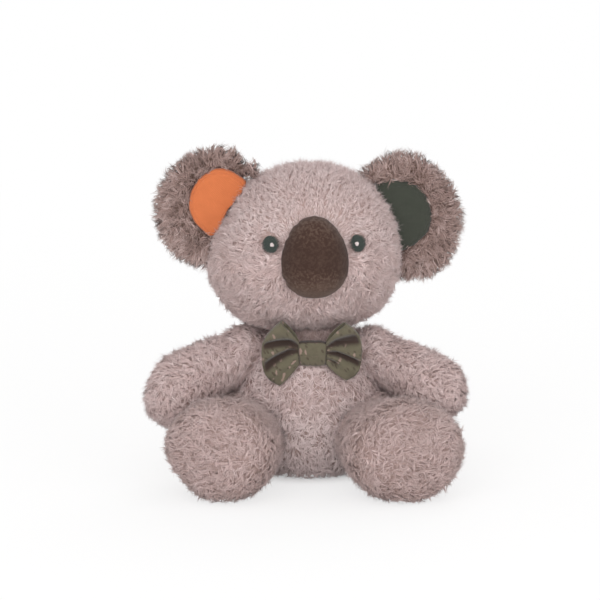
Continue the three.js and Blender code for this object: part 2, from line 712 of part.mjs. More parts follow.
const head = new THREE.Group();
const headParts = headPieces();
const nose = nosePieces();
head.add(piece('head_skin', headParts.skin, furFabric));
head.add(piece('head_stuffing', headParts.stuffing, fibreFilling));
head.add(piece('nose_cover', nose.cover, noseVelvet));
head.add(piece('nose_stuffing', nose.stuffing, fibreFilling));
sides.forEach((side) => {
  const eye = eyePieces(side);
  head.add(piece(`${side.name}_eye`, eye.disc, eyeThread));
  head.add(piece(`${side.name}_eye_highlight`, eye.highlight, whiteThread));
  const ear = earPieces(side);
  head.add(hung(earPivot(side), [
    piece(`${side.name}_ear_pile`, ear.pile, longPile),
    piece(`${side.name}_ear_lining`, ear.lining, side.lining),
    piece(`${side.name}_ear_stuffing`, ear.stuffing, fibreFilling),
  ]));
});
neck.add(head);

export default koala;
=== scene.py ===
"""A seated plush koala with a printed bow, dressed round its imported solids."""

import math

import bpy
import numpy as np
from mathutils import Euler, Matrix, Vector
from mathutils.bvhtree import BVHTree
from mathutils.kdtree import KDTree


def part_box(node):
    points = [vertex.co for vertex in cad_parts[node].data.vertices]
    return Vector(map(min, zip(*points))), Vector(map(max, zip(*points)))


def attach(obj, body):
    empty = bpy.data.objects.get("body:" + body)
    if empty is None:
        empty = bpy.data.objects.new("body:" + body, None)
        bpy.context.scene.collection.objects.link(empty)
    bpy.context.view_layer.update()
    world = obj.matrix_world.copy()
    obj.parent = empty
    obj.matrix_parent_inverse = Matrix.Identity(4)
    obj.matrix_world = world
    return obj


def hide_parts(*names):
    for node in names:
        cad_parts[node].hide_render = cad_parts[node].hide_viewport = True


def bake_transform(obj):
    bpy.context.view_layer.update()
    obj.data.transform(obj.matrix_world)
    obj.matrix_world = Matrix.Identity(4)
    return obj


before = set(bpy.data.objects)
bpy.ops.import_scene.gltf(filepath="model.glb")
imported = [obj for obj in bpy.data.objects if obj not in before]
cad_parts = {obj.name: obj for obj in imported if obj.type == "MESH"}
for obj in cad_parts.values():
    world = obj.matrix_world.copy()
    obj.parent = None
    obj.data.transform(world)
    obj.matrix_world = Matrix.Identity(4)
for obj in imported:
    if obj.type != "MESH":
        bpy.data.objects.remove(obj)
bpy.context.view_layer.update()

bl_info = {
    "name": "Plush Koala",
    "version": (1, 0, 0),
    "blender": (4, 5, 0),
    "location": "3D View > Sidebar > Koala",
    "description": "Fur, nose, eyes, ears and bow of a seated plush koala",
    "category": "Object",
}

SIDES = {"right": -1, "left": 1}

# The left shoulder and hip, in metres, that the pile is combed away from, and each hand's end
SHOULDER = Vector((0.045, -0.007, 0.097))
HIP = Vector((0.042, -0.014, 0.035))
HAND_OUT = {"right": Vector((-0.109, -0.045, 0.061)), "left": Vector((0.104, -0.045, 0.065))}

# Each sole's seam: a point on its plane, and the way that the sole faces
SOLE_SEAM = {
    "right": (Vector((-0.0714, -0.1103, 0.0397)), Vector((-0.337, -0.940, 0.045))),
    "left": (Vector((0.0776, -0.1105, 0.0397)), Vector((0.398, -0.916, 0.044))),
}

# How far the bow leans back on the chest, how deep it is at the loops' ends and in the pinch, how
# far the knot holds it, and the knot's width, height and depth
BOW_LEAN = math.radians(15)
LOOP_DEPTH = 0.011
PINCH_DEPTH = 0.0034
KNOT_HOLD = 0.0102
KNOT_SIZE = (0.0215, 0.0214, 0.010)

# How far each eye's embroidery sits from the middle of its solid, how much wider it is, and the
# highlight's share of its radius
EYE_SET = {"right": Vector((-0.0002, 0, -0.0009)), "left": Vector((-0.0006, 0, -0.0018))}
EYE_SPREAD = 1.07
GLINT_SHARE = 0.24

# How much wider the nose is than its solid, and how far it sits to the right
NOSE_WIDTH_SHARE = 1.05
NOSE_SHIFT = 0.0008

# Each loop of the bow, by its side: how far out its end reaches from its foot to its top, the foot
# and the top of its end and of its pinch, and its pleats: where each starts at the knot and ends at
# the loop's end, on a rise of -1 to 1, how wide it is at both, how deep, and where it runs out
LOOP_RISES = (-1.0, -0.85, -0.65, -0.4, 0.0, 0.3, 0.55, 0.8, 1.0)
LOOPS = {
    -1: {
        "reach": (0.0262, 0.0335, 0.0375, 0.0394, 0.0402, 0.0394, 0.0362, 0.0308, 0.0246),
        "end": (-0.0258, 0.0298),
        "pinch": (-0.0072, 0.0082),
        "pleats": ((0.66, 0.24, 0.26, 0.15, 1.0, 1.1), (0.2, -0.5, 0.26, 0.19, 1.0, 1.1)),
    },
    1: {
        "reach": (0.0270, 0.0335, 0.0366, 0.0381, 0.0387, 0.0382, 0.0364, 0.0322, 0.0255),
        "end": (-0.0208, 0.0284),
        "pinch": (-0.0068, 0.0084),
        "pleats": (
            (0.55, 0.47, 0.24, 0.25, 0.95, 1.1),
            (0.02, -0.46, 0.22, 0.16, 0.95, 1.1),
            (-0.55, -0.98, 0.18, 0.1, 0.6, 0.5),
        ),
    },
}

# How far the head's crown leans to its left and lies under the solid's, how far the right ear's
# seam draws the head in, and the share by which each side's jowl is drawn in
CROWN_LEAN = 0.0045
CROWN_DROP = 0.0015
EAR_SEAM_DRAW = 0.0045
JOWL_DRAW_SHARES = {"right": 0.044, "left": 0.02}

# The heights between which the lean and the drop set in, and each band's middle height and spread
LEAN_HEIGHTS = (0.185, 0.25)
DROP_HEIGHTS = (0.2, 0.25)
JOWL_BAND = (0.134, 0.015)
EAR_SEAM_BAND = (0.212, 0.024)

# How far each ear's outline moves out from the solid's, by the angle round its middle in degrees,
# and the distances from its middle between which that sets in
EAR_TRIM = {
    "right": (
        (-140, 0.003), (-100, 0.0034), (-50, 0.0), (10, 0.0),
        (48, 0.0074), (85, -0.0012), (125, -0.0026), (165, 0.0018),
    ),
    "left": (
        (-100, 0.0), (-30, 0.0004), (5, -0.0012), (25, -0.003),
        (50, -0.0038), (85, -0.0016), (128, 0.0072), (168, 0.0),
    ),
}
EAR_RIM = (0.026, 0.044)

# Where a lining is cut back next to the head: the angle of the cut, its half width, both in
# degrees, and its share of the radius
LINING_CUT = {"right": (48, 42, 0.19), "left": (132, 36, 0.13)}

# A lining's turned-in edge and its stitched groove: each ring's share of the radius, and its rise
LINING_RIM = (
    (1.0, -0.0035), (0.985, -0.0012), (0.96, 0.0002),
    (0.935, 0.0007), (0.91, 0.0002), (0.885, 0.0007),
)

# How far an arm's upper side lies under the solid's, and a foot's lower outer edge is tucked in
ARM_DROP = {"right": 0.0016, "left": 0.0034}
FOOT_TUCK = {"right": 0.0062, "left": 0.0012}

# How far out an arm starts and runs, how high its middle starts and how far that falls, how far
# it sags in its middle, its hand lifts, and its hand is drawn in
ARM_SPAN = (0.048, 0.075)
ARM_TOP = (0.097, 0.034)
ARM_SAG = 0.0034
HAND_LIFT = 0.002
HAND_DRAW = {"right": 0.0034, "left": 0.0028}

# How far the ears' roots are drawn to the head, and the distances between which that fades out
EAR_PULL = 0.013
EAR_PULL_REACH = (0.009, 0.034)

# Where cloth crosses a joint: the bend's start and end on the left limb
BENDS = {
    "arm": ((0.036, -0.006, 0.098), (0.066, -0.012, 0.086)),
    "leg": ((0.038, -0.008, 0.035), (0.056, -0.05, 0.035)),
}

# Each lamp's place, size in metres and power in watts, and what they all point at
LAMPS = {
    "key": ((-0.8, -2.5, 1.5), 2.4, 36.0),
    "fill": ((1.7, -2.2, 0.8), 2.0, 15.0),
    "front": ((0.3, -2.9, 0.4), 2.2, 26.0),
    "back": ((0.4, 1.9, 1.9), 1.6, 18.0),
}
LAMP_AIM = Vector((0, 0, 0.12))

# What the camera looks at, its angle over it, its distance and its lens
CAMERA_AIM = Vector((-0.0072, 0.0281, 0.1322))
CAMERA_RISE = math.radians(12)
CAMERA_AWAY = 6.0
CAMERA_LENS = 450


def srgb(red, green, blue):
    """The linear colour of a swatch given in 0 to 255"""

    def linear(value):
        share = value / 255
        return share / 12.92 if share <= 0.04045 else ((share + 0.055) / 1.055) ** 2.4

    return (linear(red), linear(green), linear(blue), 1.0)


def length(name, description, default, most=0.1):
    return bpy.props.FloatProperty(
        name=name, description=description, default=default, min=0, max=most, unit="LENGTH", precision=4
    )


def share(name, description, default, most=1.0):
    return bpy.props.FloatProperty(
        name=name, description=description, default=default, min=0, max=most, subtype="FACTOR"
    )


def swatch(name, description, *default):
    return bpy.props.FloatVectorProperty(
        name=name, description=description, subtype="COLOR", size=4, min=0, max=1, default=srgb(*default)
    )


class KoalaSizes(bpy.types.PropertyGroup):
    """Lengths and shares that a maker would change"""

    body_pile: length("Body pile", "Length of a lock on the body and limbs", 0.0092)
    face_pile: length("Face pile", "Length of a lock on the forehead", 0.006)
    cheek_pile: length("Cheek pile", "Length of a lock on the cheeks and jaw", 0.0095)
    ear_pile: length("Ear pile", "Length of a lock on the ears", 0.0095)
    lock_width: length("Lock width", "Width of a lock at its widest", 0.00077, 0.01)
    tuft_spacing: length("Tuft spacing", "Distance between neighbouring tufts", 0.0024, 0.05)
    sinking: share("Sinking", "How deep the backings lie in the space of the solids", 1.0, 2.0)
    swell: length("Swell", "The most that the filling pushes the backing out", 0.0016)
    thread: length("Thread", "Thickness of the embroidery thread", 0.0007, 0.005)
    bow_fold: length("Bow fold", "Depth of the folds in the bow's loops", 0.0072)
    bow_cloth: length("Bow cloth", "Thickness of the bow's cloth", 0.0009, 0.01)
    cling: share("Cling", "How far the locks of a tuft close on each other", 0.5)


class KoalaColours(bpy.types.PropertyGroup):
    """Colours that a maker would change"""

    fur_deep: swatch("Fur, deep", "Body pile where it is darkest", 172, 148, 142)
    fur_mid: swatch("Fur, middle", "Body pile at its usual tone", 203, 179, 176)
    fur_pale: swatch("Fur, pale", "Body pile at its palest tips", 229, 211, 209)
    ear_deep: swatch("Ear pile, deep", "Ear pile where it is darkest", 98, 78, 70)
    ear_mid: swatch("Ear pile, middle", "Ear pile at its usual tone", 159, 134, 127)
    ear_pale: swatch("Ear pile, pale", "Ear pile at its palest tips", 206, 183, 178)
    backing: swatch("Backing", "Knitted ground under the pile", 182, 157, 151)
    nose: swatch("Nose", "Velvet of the nose", 66, 47, 40)
    # The nose's paler colour: its brushed patches, and the painted sheen along its lower edge
    nose_pale_and_sheen: swatch("Nose, worn", "Velvet of the nose where it is brushed up", 98, 80, 70)
    eye: swatch("Eye", "Thread of the eyes", 50, 60, 54)
    highlight: swatch("Highlight", "Thread of the eyes' highlights", 230, 216, 214)
    right_lining: swatch("Right lining", "Cloth inside the right ear", 202, 113, 68)
    left_lining: swatch("Left lining", "Cloth inside the left ear", 58, 61, 53)
    bow: swatch("Bow", "Ground of the bow's cloth", 101, 95, 78)
    bow_light: swatch("Bow motif, light", "Small light motifs on the bow", 164, 138, 128)
    # Also the colour of the painted shade in the bow's folds
    bow_dark: swatch("Bow motif, dark", "Small dark motifs on the bow", 56, 42, 37)


# Selecting, copying and shaping


def choose(*objects):
    """Selects these objects alone, and makes the first one active"""
    bpy.ops.object.select_all(action="DESELECT")
    for ob in objects:
        ob.select_set(True)
    bpy.context.view_layer.objects.active = objects[0]


def added(name):
    """The object that the last operator added, under its own name"""
    ob = bpy.context.view_layer.objects.active
    ob.name = name
    ob.data.name = name
    return ob


def settle(ob):
    """Puts an object's place and turn into its mesh"""
    choose(ob)
    bpy.ops.object.transform_apply(location=True, rotation=True, scale=True)


def apply(ob, kind, **settings):
    """Adds a modifier, sets it and applies it"""
    modifier = ob.modifiers.new(kind.title(), kind)
    for key, value in settings.items():
        setattr(modifier, key, value)
    choose(ob)
    bpy.ops.object.modifier_apply(modifier=modifier.name)


def smoothed(ob):
    choose(ob)
    bpy.ops.object.shade_smooth()


def thicken(ob, thickness):
    apply(ob, "SOLIDIFY", thickness=thickness, offset=0.0)
    smoothed(ob)


def on_all(ob, operator, **settings):
    """Runs a mesh operator on the whole of an object"""
    choose(ob)
    bpy.ops.object.mode_set(mode="EDIT")
    bpy.ops.mesh.select_all(action="SELECT")
    operator(**settings)
    bpy.ops.object.mode_set(mode="OBJECT")


def coordinates(mesh, value="co"):
    """The place of each point of a mesh, or its normal"""
    flat = np.empty(3 * len(mesh.vertices), np.float32)
    mesh.vertices.foreach_get(value, flat)
    return flat.reshape(-1, 3).astype(float)


def place(mesh, points):
    mesh.vertices.foreach_set("co", np.asarray(points, np.float32).ravel())
    mesh.update()


def units(vectors):
    """Each row at unit length"""
    return vectors / np.maximum(np.linalg.norm(vectors, axis=1, keepdims=True), 1e-9)


def eased(values, low, high):
    """0 at low, 1 at high, smooth between"""
    part = np.clip((values - low) / (high - low), 0, 1)
    return part * part * (3 - 2 * part)


def bell(values, middle, spread):
    """1 at the middle, and less away from it"""
    return np.exp(-(((values - middle) / spread) ** 2))


def drift(points, wave, seed):
    """A smooth random value from about -1 to 1 that changes over the length of one wave"""
    rng = np.random.default_rng(seed)
    total = np.zeros(len(points))
    rounds = 7
    for _ in range(rounds):
        direction = rng.normal(size=3)
        direction *= rng.uniform(0.6, 1.5) * 2 * math.pi / wave / np.linalg.norm(direction)
        total += np.sin(points @ direction + rng.uniform(0, 2 * math.pi))
    return total / math.sqrt(rounds / 2) / 1.4


def linked(name, mesh):
    """An object of this mesh, in the scene"""
    ob = bpy.data.objects.new(name, mesh)
    bpy.context.collection.objects.link(ob)
    return ob


def mesh_object(name, points, faces):
    mesh = bpy.data.meshes.new(name)
    mesh.from_pydata([tuple(p) for p in points], [], faces)
    mesh.update()
    mesh.shade_smooth()
    return linked(name, mesh)


def tree_of(ob):
    faces = [tuple(face.vertices) for face in ob.data.polygons]
    return BVHTree.FromPolygons([tuple(v) for v in coordinates(ob.data)], faces)


def seen_from_front(tree, x, z):
    """Where a straight look back at this height first meets the mesh, or None"""
    return tree.ray_cast(Vector((x, -1.0, z)), Vector((0, 1, 0)))[0]


def middle_of(node):
    low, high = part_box(node)
    return (low + high) / 2


def mirrored(spot, side):
    """The place on this side of one that is given for the left"""
    return Vector((SIDES[side] * spot.x, spot.y, spot.z))


# Materials


class Wire:
    """A value on its way through a material. Sums and products add their Math nodes."""

    def __init__(self, paint, socket):
        self.paint = paint
        self.socket = socket

    def math(self, operation, *values):
        return self.paint.node("ShaderNodeMath", {"operation": operation}, dict(enumerate(values)))

    def __add__(self, other):
        return self.math("ADD", self, other)

    def __radd__(self, other):
        return self.math("ADD", other, self)

    def __sub__(self, other):
        return self.math("SUBTRACT", self, other)

    def __rsub__(self, other):
        return self.math("SUBTRACT", other, self)

    def __mul__(self, other):
        return self.math("MULTIPLY", self, other)

    def __rmul__(self, other):
        return self.math("MULTIPLY", other, self)

    def __truediv__(self, other):
        return self.math("DIVIDE", self, other)

    def eased(self, low, high):
        """0 below low, 1 above high, smooth between"""
        settings = {"interpolation_type": "SMOOTHSTEP"}
        return self.paint.node("ShaderNodeMapRange", settings, {0: self, 1: low, 2: high, 3: 0, 4: 1})


class Nodes:
    """The node tree of a material or a world, with its output"""

    def __init__(self, owner, output):
        owner.use_nodes = True
        self.tree = owner.node_tree
        self.tree.nodes.clear()
        self.output = self.tree.nodes.new(output)

    def node(self, kind, settings, values, output=0):
        """Adds a node: its settings first, then the values or wires of its sockets"""
        made = self.tree.nodes.new(kind)
        for key, value in settings.items():
            setattr(made, key, value)
        for key, value in values.items():
            self.feed(made.inputs[key], value)
        return Wire(self, made.outputs[output])

    def feed(self, socket, value):
        if isinstance(value, Wire):
            self.tree.links.new(value.socket, socket)
        else:
            socket.default_value = value

    def show(self, shader):
        self.feed(self.output.inputs["Surface"], shader)

    def rays(self):
        """1 where the camera, a mirror or glass looks, 0 for the light that a surface sends on"""
        made = self.tree.nodes.new("ShaderNodeLightPath")
        names = ("Is Camera Ray", "Is Glossy Ray", "Is Transmission Ray")
        camera, glossy, through = (Wire(self, made.outputs[name]) for name in names)
        return camera.math("MAXIMUM", camera.math("MAXIMUM", camera, glossy), through)


class Paint(Nodes):
    """One procedural material round a principled shader"""

    def __init__(self, name, roughness, sheen=0.0, specular=0.3):
        self.material = bpy.data.materials.new(name)
        super().__init__(self.material, "ShaderNodeOutputMaterial")
        self.shader = self.tree.nodes.new("ShaderNodeBsdfPrincipled")
        self.show(Wire(self, self.shader.outputs[0]))
        self.shader.inputs["Roughness"].default_value = roughness
        self.shader.inputs["Sheen Weight"].default_value = sheen
        self.shader.inputs["Sheen Roughness"].default_value = 0.5
        self.shader.inputs["Specular IOR Level"].default_value = specular

    def mix(self, factor, first, second, blend="MIX"):
        """Colours, the second one where the factor is 1"""
        settings = {"data_type": "RGBA", "blend_type": blend}
        return self.node("ShaderNodeMix", settings, {0: factor, 6: first, 7: second}, 2)

    def place(self):
        return self.node("ShaderNodeTexCoord", {}, {}, "Object")

    def map(self, name):
        return self.node("ShaderNodeUVMap", {"uv_map": name}, {})

    def parts(self, vector):
        made = self.tree.nodes.new("ShaderNodeSeparateXYZ")
        self.feed(made.inputs[0], vector)
        return [Wire(self, socket) for socket in made.outputs]

    def noise(self, vector, scale, detail=2.0, roughness=0.5):
        values = {"Vector": vector, "Scale": scale, "Detail": detail, "Roughness": roughness}
        return self.node("ShaderNodeTexNoise", {}, values)

    def threads(self, across, up, warp):
        """A plain weave: 1 where a thread lies on top, 0 between the threads"""
        return across.math("SINE", across * warp) * up.math("SINE", up * warp) * 0.5 + 0.5

    def cells(self, x, y):
        """The distance from the nearest point of a flat scatter"""
        spot = self.node("ShaderNodeCombineXYZ", {}, {0: x, 1: y})
        settings = {"voronoi_dimensions": "2D"}
        return self.node("ShaderNodeTexVoronoi", settings, {"Vector": spot, "Scale": 1.0})

    def bump(self, height, strength, distance):
        values = {"Strength": strength, "Distance": distance, "Height": height}
        self.feed(self.shader.inputs["Normal"], self.node("ShaderNodeBump", {}, values))

    def colour(self, value):
        self.feed(self.shader.inputs["Base Color"], value)

    def rough(self, value):
        self.feed(self.shader.inputs["Roughness"], value)


def darker(colour, share):
    return tuple(share * value for value in colour[:3]) + (1.0,)


def lock_finish(name, deep, middle, pale):
    """Pile: each lock has its own tone, with painted shade at its root and a painted highlight towards its
    tip
    """
    paint = Paint(name, roughness=0.85, sheen=0.15, specular=0.15)
    tone, along, _ = paint.parts(paint.map("OFBake"))
    own = paint.mix(tone.eased(0.0, 0.5), deep, middle)
    own = paint.mix(tone.eased(0.5, 1.0), own, pale)
    # Painted shade: the colour darkens to the deep tone towards each lock's root
    painted_root_shade = paint.mix(along.eased(-0.25, 0.42), deep, own)
    # Painted highlight: the colour pales towards each lock's tip
    paint.colour(paint.mix(along.eased(0.55, 1.15) * 0.45, painted_root_shade, pale))
    return paint.material


def backing_finish(name, backing, deep):
    """The knitted ground that shows between the tufts"""
    paint = Paint(name, roughness=0.95, specular=0.1)
    where = paint.place()
    patches = paint.noise(where, 260.0, 3.0, 0.6)
    fine = paint.noise(where, 1500.0, 1.0)
    paint.colour(paint.mix(patches.eased(0.35, 0.65), backing, deep))
    paint.bump(patches * 0.6 + fine * 0.4, 0.7, 0.0012)
    return paint.material


def velvet_finish(name, nose, pale, low, high):
    """Short velvet between two heights: brushed patches, painted shade in its middle, a painted sheen along
    its lower edge, a nap
    """
    paint = Paint(name, roughness=0.85, sheen=0.1, specular=0.12)
    where = paint.place()
    _, _, up = paint.parts(where)
    brushed = paint.noise(where, 90.0, 3.0, 0.6)
    nap = paint.noise(where, 1700.0, 2.0, 0.7)
    mottle = paint.noise(where, 430.0, 3.0, 0.65)
    deep = darker(nose, 0.72)
    height = (up - low) / (high - low) + (brushed - 0.5) * 0.25
    # Painted sheen: the velvet pales towards its lower edge
    cloth = paint.mix((1 - height.eased(0.02, 0.34)) * 0.75, nose, pale)
    # Painted shade: a band across the nose's middle height darkens it
    middle = height.eased(0.22, 0.45) * (1 - height.eased(0.6, 0.95))
    cloth = paint.mix(middle * 0.8, cloth, deep)
    cloth = paint.mix(brushed.eased(0.5, 0.75) * 0.22, cloth, pale)
    cloth = paint.mix(mottle.eased(0.44, 0.6) * (1 - middle * 0.75) * 0.8, cloth, pale)
    paint.colour(paint.mix(nap.eased(0.35, 0.7) * 0.5, cloth, deep))
    paint.rough(0.72 + brushed * 0.2)
    paint.bump(nap * 0.6 + brushed * 0.4, 0.5, 0.0007)
    return paint.material


def thread_finish(name, thread):
    """Embroidery thread with its twist and a silky run of light"""
    paint = Paint(name, roughness=0.5, sheen=0.2, specular=0.4)
    where = paint.place()
    twist = paint.noise(where, 2200.0, 2.0)
    paint.colour(paint.mix(twist.eased(0.35, 0.7), thread, darker(thread, 0.55)))
    paint.rough(0.42 + twist * 0.25)
    paint.bump(twist, 0.3, 0.0003)
    return paint.material


def woven_finish(name, dye):
    """Plain woven cloth: threads over and under, uneven dye and a few slubs"""
    paint = Paint(name, roughness=0.85, sheen=0.25, specular=0.2)
    across, up, _ = paint.parts(paint.map("weave"))
    weave = paint.threads(across, up, 6800.0)
    where = paint.place()
    uneven = paint.noise(where, 120.0, 3.0, 0.6)
    slubs = paint.noise(where, 900.0, 2.0, 0.7)
    deep = darker(dye, 0.72)
    pale = tuple(min(1.2 * v + 0.01, 1.0) for v in dye[:3]) + (1.0,)
    cloth = paint.mix(weave.eased(0.15, 0.6), deep, dye)
    cloth = paint.mix(slubs.eased(0.55, 0.75) * 0.5, cloth, pale)
    paint.colour(paint.mix(uneven.eased(0.45, 0.8) * 0.35, cloth, deep))
    paint.rough(0.8 + uneven * 0.15)
    paint.bump(weave * 0.7 + slubs * 0.3, 0.4, 0.0005)
    return paint.material


def print_finish(name, ground, light, dark):
    """Printed cloth: a scatter of small seeds and flecks on an olive ground, with painted shade in the folds
    """
    paint = Paint(name, roughness=0.82, sheen=0.25, specular=0.2)
    where = paint.map("weave")
    across, up, _ = paint.parts(where)
    weave = paint.threads(across, up, 7600.0)
    wander = paint.noise(where, 160.0, 2.0)
    seeds = paint.cells(across * 125 + wander * 0.9, up * 78 + wander * 0.6)
    flecks = paint.cells(across * 80 - up * 80, across * 150 + up * 150)
    uneven = paint.noise(paint.place(), 160.0, 3.0, 0.6)
    shade = darker(ground, 0.7)
    cloth = paint.mix(uneven.eased(0.4, 0.75) * 0.5, ground, shade)
    cloth = paint.mix((1 - flecks.eased(0.12, 0.2)) * 0.5, cloth, dark)
    cloth = paint.mix((1 - seeds.eased(0.11, 0.19)) * 0.7, cloth, light)
    cloth = paint.mix((1 - weave.eased(0.1, 0.55)) * 0.35, cloth, shade)
    # Painted shade: the cloth darkens to the dark motif colour where it lies deep in a fold or a turned-in
    # edge
    painted_fold_shade = paint.node("ShaderNodeAttribute", {"attribute_name": "fold"}, {}, "Fac")
    paint.colour(paint.mix(painted_fold_shade.eased(0.02, 0.6) * 0.96, cloth, dark))
    paint.rough(0.78 + uneven * 0.15)
    paint.bump(weave, 0.35, 0.0004)
    return paint.material


# Stuffed forms

# The pressure inside a backing, and for how many frames it fills
FILLING_PRESSURE = 4
FILLING_FRAMES = 20


def root_plug(name):
    """A ball of filling inside a limb's seam, that carries the limb on into the torso"""
    side, limb, _ = name.split("_")
    middle, radius = ROOT_PLUGS[limb]
    spot = mirrored(middle, side)
    bpy.ops.object.select_all(action="DESELECT")
    bpy.ops.mesh.primitive_uv_sphere_add(segments=24, ring_count=14, radius=radius, location=spot)
    plug = added(f"{name}_root")
    settle(plug)
    return plug


def form_of(name, nodes, voxel):
    """The outside of some CAD nodes as one even mesh"""
    copies = [root_plug(name)] if any(f"_{limb}_" in name for limb in ROOT_PLUGS) else []
    for node in nodes:
        copies.append(linked(name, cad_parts[node].data.copy()))
        copies[-1].data.materials.clear()
    choose(*copies)
    if len(copies) > 1:
        bpy.ops.object.join()
    whole = added(name)
    on_all(whole, bpy.ops.mesh.remove_doubles, threshold=1e-6)
    apply(whole, "REMESH", mode="VOXEL", voxel_size=voxel)
    keep_largest(whole)
    return whole


def keep_largest(ob):
    """Deletes all but the largest loose part, such as a hollow's own skin"""
    on_all(ob, bpy.ops.mesh.separate, type="LOOSE")
    parts = list(bpy.context.selected_objects)
    largest = max(parts, key=lambda part: np.ptp(coordinates(part.data), axis=0).prod())
    for part in parts:
        if part is not largest and part is not ob:
            bpy.data.objects.remove(part)
    if largest is not ob:
        ob.data = largest.data
        bpy.data.objects.remove(largest)


def draw_in(ob, inset, voxel):
    """Moves the surface in by the pile's depth and evens it out again"""
    apply(ob, "DISPLACE", strength=-inset, mid_level=0.0, direction="NORMAL")
    apply(ob, "REMESH", mode="VOXEL", voxel_size=voxel)
    keep_largest(ob)
    apply(ob, "SMOOTH", factor=0.5, iterations=6)


def inflate(ob, most):
    """Lets the filling push the cloth out, each point no further than the given length"""
    mesh = ob.data
    before = coordinates(mesh)
    cloth = ob.modifiers.new("Filling", "CLOTH")
    cloth.settings.use_pressure = True
    cloth.settings.uniform_pressure_force = FILLING_PRESSURE
    cloth.settings.effector_weights.gravity = 0
    for frame_number in range(1, FILLING_FRAMES + 1):
        bpy.context.scene.frame_set(frame_number)
    graph = bpy.context.evaluated_depsgraph_get()
    moved = coordinates(ob.evaluated_get(graph).data) - before
    far = np.linalg.norm(moved, axis=1, keepdims=True)
    ob.modifiers.remove(cloth)
    place(mesh, before + moved * np.minimum(1, most / np.maximum(far, 1e-9)))
    bpy.context.scene.frame_set(1)


def seat(ob, form, inset):
    """Brings the surface back to its depth under the form, and leaves the filling's lumps"""
    mesh = ob.data
    edges = np.array([tuple(edge.vertices) for edge in mesh.edges])
    points, normals = coordinates(mesh), coordinates(mesh, "normal")
    short = np.empty(len(points))
    for i, point in enumerate(points):
        spot, _, _, distance = form.find_nearest(point)
        out = (np.array(spot) - point) @ normals[i]
        short[i] = math.copysign(distance, out) - inset
    short = np.clip(short, -0.006, 0.006)
    neighbours = np.zeros(len(points))
    np.add.at(neighbours, edges.ravel(), 1)
    for _ in range(12):
        total = short.copy()
        np.add.at(total, edges[:, 0], short[edges[:, 1]])
        np.add.at(total, edges[:, 1], short[edges[:, 0]])
        short = total / (neighbours + 1)
    place(mesh, points + normals * short[:, None])


def stuffed(name, nodes, inset, voxel, swell):
    """A padded piece in the space of its CAD nodes, drawn in by the depth of its pile"""
    pad = form_of(name, nodes, voxel)
    form = tree_of(pad)
    draw_in(pad, inset + swell / 2, voxel)
    inflate(pad, swell)
    apply(pad, "SUBSURF", levels=1, render_levels=1)
    seat(pad, form, inset)
    smoothed(pad)
    return pad


def leaned(points):
    """The crown leans to its left, the right ear's seam draws the side in, the jowls are tucked in"""
    moved = points.copy()
    height = points[:, 2]
    moved[:, 2] -= CROWN_DROP * eased(height, *DROP_HEIGHTS)
    draw = np.where(points[:, 0] < 0, JOWL_DRAW_SHARES["right"], JOWL_DRAW_SHARES["left"])
    moved[:, 0] *= 1 - draw * bell(height, *JOWL_BAND)
    moved[:, 0] += CROWN_LEAN * eased(height, *LEAN_HEIGHTS)
    moved[:, 0] += EAR_SEAM_DRAW * bell(height, *EAR_SEAM_BAND) * eased(-points[:, 0], 0.042, 0.07)
    return moved


def laid_down(points, side):
    """The arm sags on the leg between the shoulder and the hand"""
    moved = points.copy()
    root, span = ARM_SPAN
    along = np.clip((SIDES[side] * points[:, 0] - root) / span, 0, 1)
    moved[:, 2] -= ARM_SAG * np.sin(math.pi * np.minimum(along * 1.1, 1))
    moved[:, 2] += HAND_LIFT * eased(along, 0.55, 1.0)
    top, fall = ARM_TOP
    above = eased(points[:, 2] - (top - fall * along), -0.004, 0.02)
    moved[:, 2] -= ARM_DROP[side] * above * (1 - eased(along, 0.75, 1.0))
    moved[:, 0] -= SIDES[side] * HAND_DRAW[side] * eased(along, 0.3, 1.0)
    return moved


def tucked_under(points, side):
    """The foot's outer edge curves in under the sole"""
    moved = points.copy()
    outer = eased(SIDES[side] * (points[:, 0] - SOLE_SEAM[side][0].x), -0.004, 0.03)
    moved[:, 0] -= SIDES[side] * FOOT_TUCK[side] * outer * eased(-points[:, 2], -0.052, -0.008)
    return moved


def trimmed_ear(points, side):
    """The ear with its root drawn to the head and its outline set"""
    moved = toward_head(points)
    away = (points - np.array(middle_of(f"{side}_ear_pile"))) * np.array([1, 0, 1])
    reach = np.linalg.norm(away, axis=1)
    angles, trims = zip(*EAR_TRIM[side])
    trim = np.interp(np.degrees(np.arctan2(away[:, 2], away[:, 0])), angles, trims, period=360)
    return moved + units(away) * (trim * eased(reach, *EAR_RIM))[:, None]


def toward_head(points):
    """Draws the ear's root in until it meets the head, as the sewn cloth does"""
    head = tree_of(bpy.data.objects["head_pelt"])
    moved = points.copy()
    for i, point in enumerate(points):
        spot, _, _, distance = head.find_nearest(point)
        pull = EAR_PULL * (1 - float(eased(distance, *EAR_PULL_REACH)))
        moved[i] = point + (np.array(spot) - point) / max(distance, 1e-6) * pull
    return moved


# Pile

# Where a lock has its rings, and how full each is: a plain lock, and a long one
LOCK_RINGS = {"plain": ((0.0, 0.8), (0.5, 0.95)), "long": ((0.0, 0.72), (0.34, 1.0), (0.7, 0.66))}
LOCK_FLATNESS = 0.6

# Where a lock's elbow lies, as shares of its length: up from the cloth, and along its comb
ELBOW_UP = 0.32
ELBOW_ALONG = 0.22

# A wisp, a finer lock that stands out: its length and width against a lock's, how much more it
# stands up, how far it closes on its tuft, and how much paler it is painted, as a painted highlight
WISP_LENGTH = 1.12
WISP_WIDTH = 0.42
WISP_RISE = 0.16
WISP_CLING = 0.25
WISP_PAINTED_HIGHLIGHT = 0.16

# How much a lock's shading turns with its own sides, the rest turns with the cloth under it
SHADE_OWN = 0.54

# The lowest that a lock reaches over the table
TABLE_GAP = 0.0003

# Where no lock grows: below this height on the seat, so deep inside another backing, and so near
# to the nose and to the middle of an eye
SEAT_HEIGHT = 0.0045
BACKING_DEPTH = 0.0005
NOSE_CLEAR = 0.0016
EYE_CLEAR = 0.0078


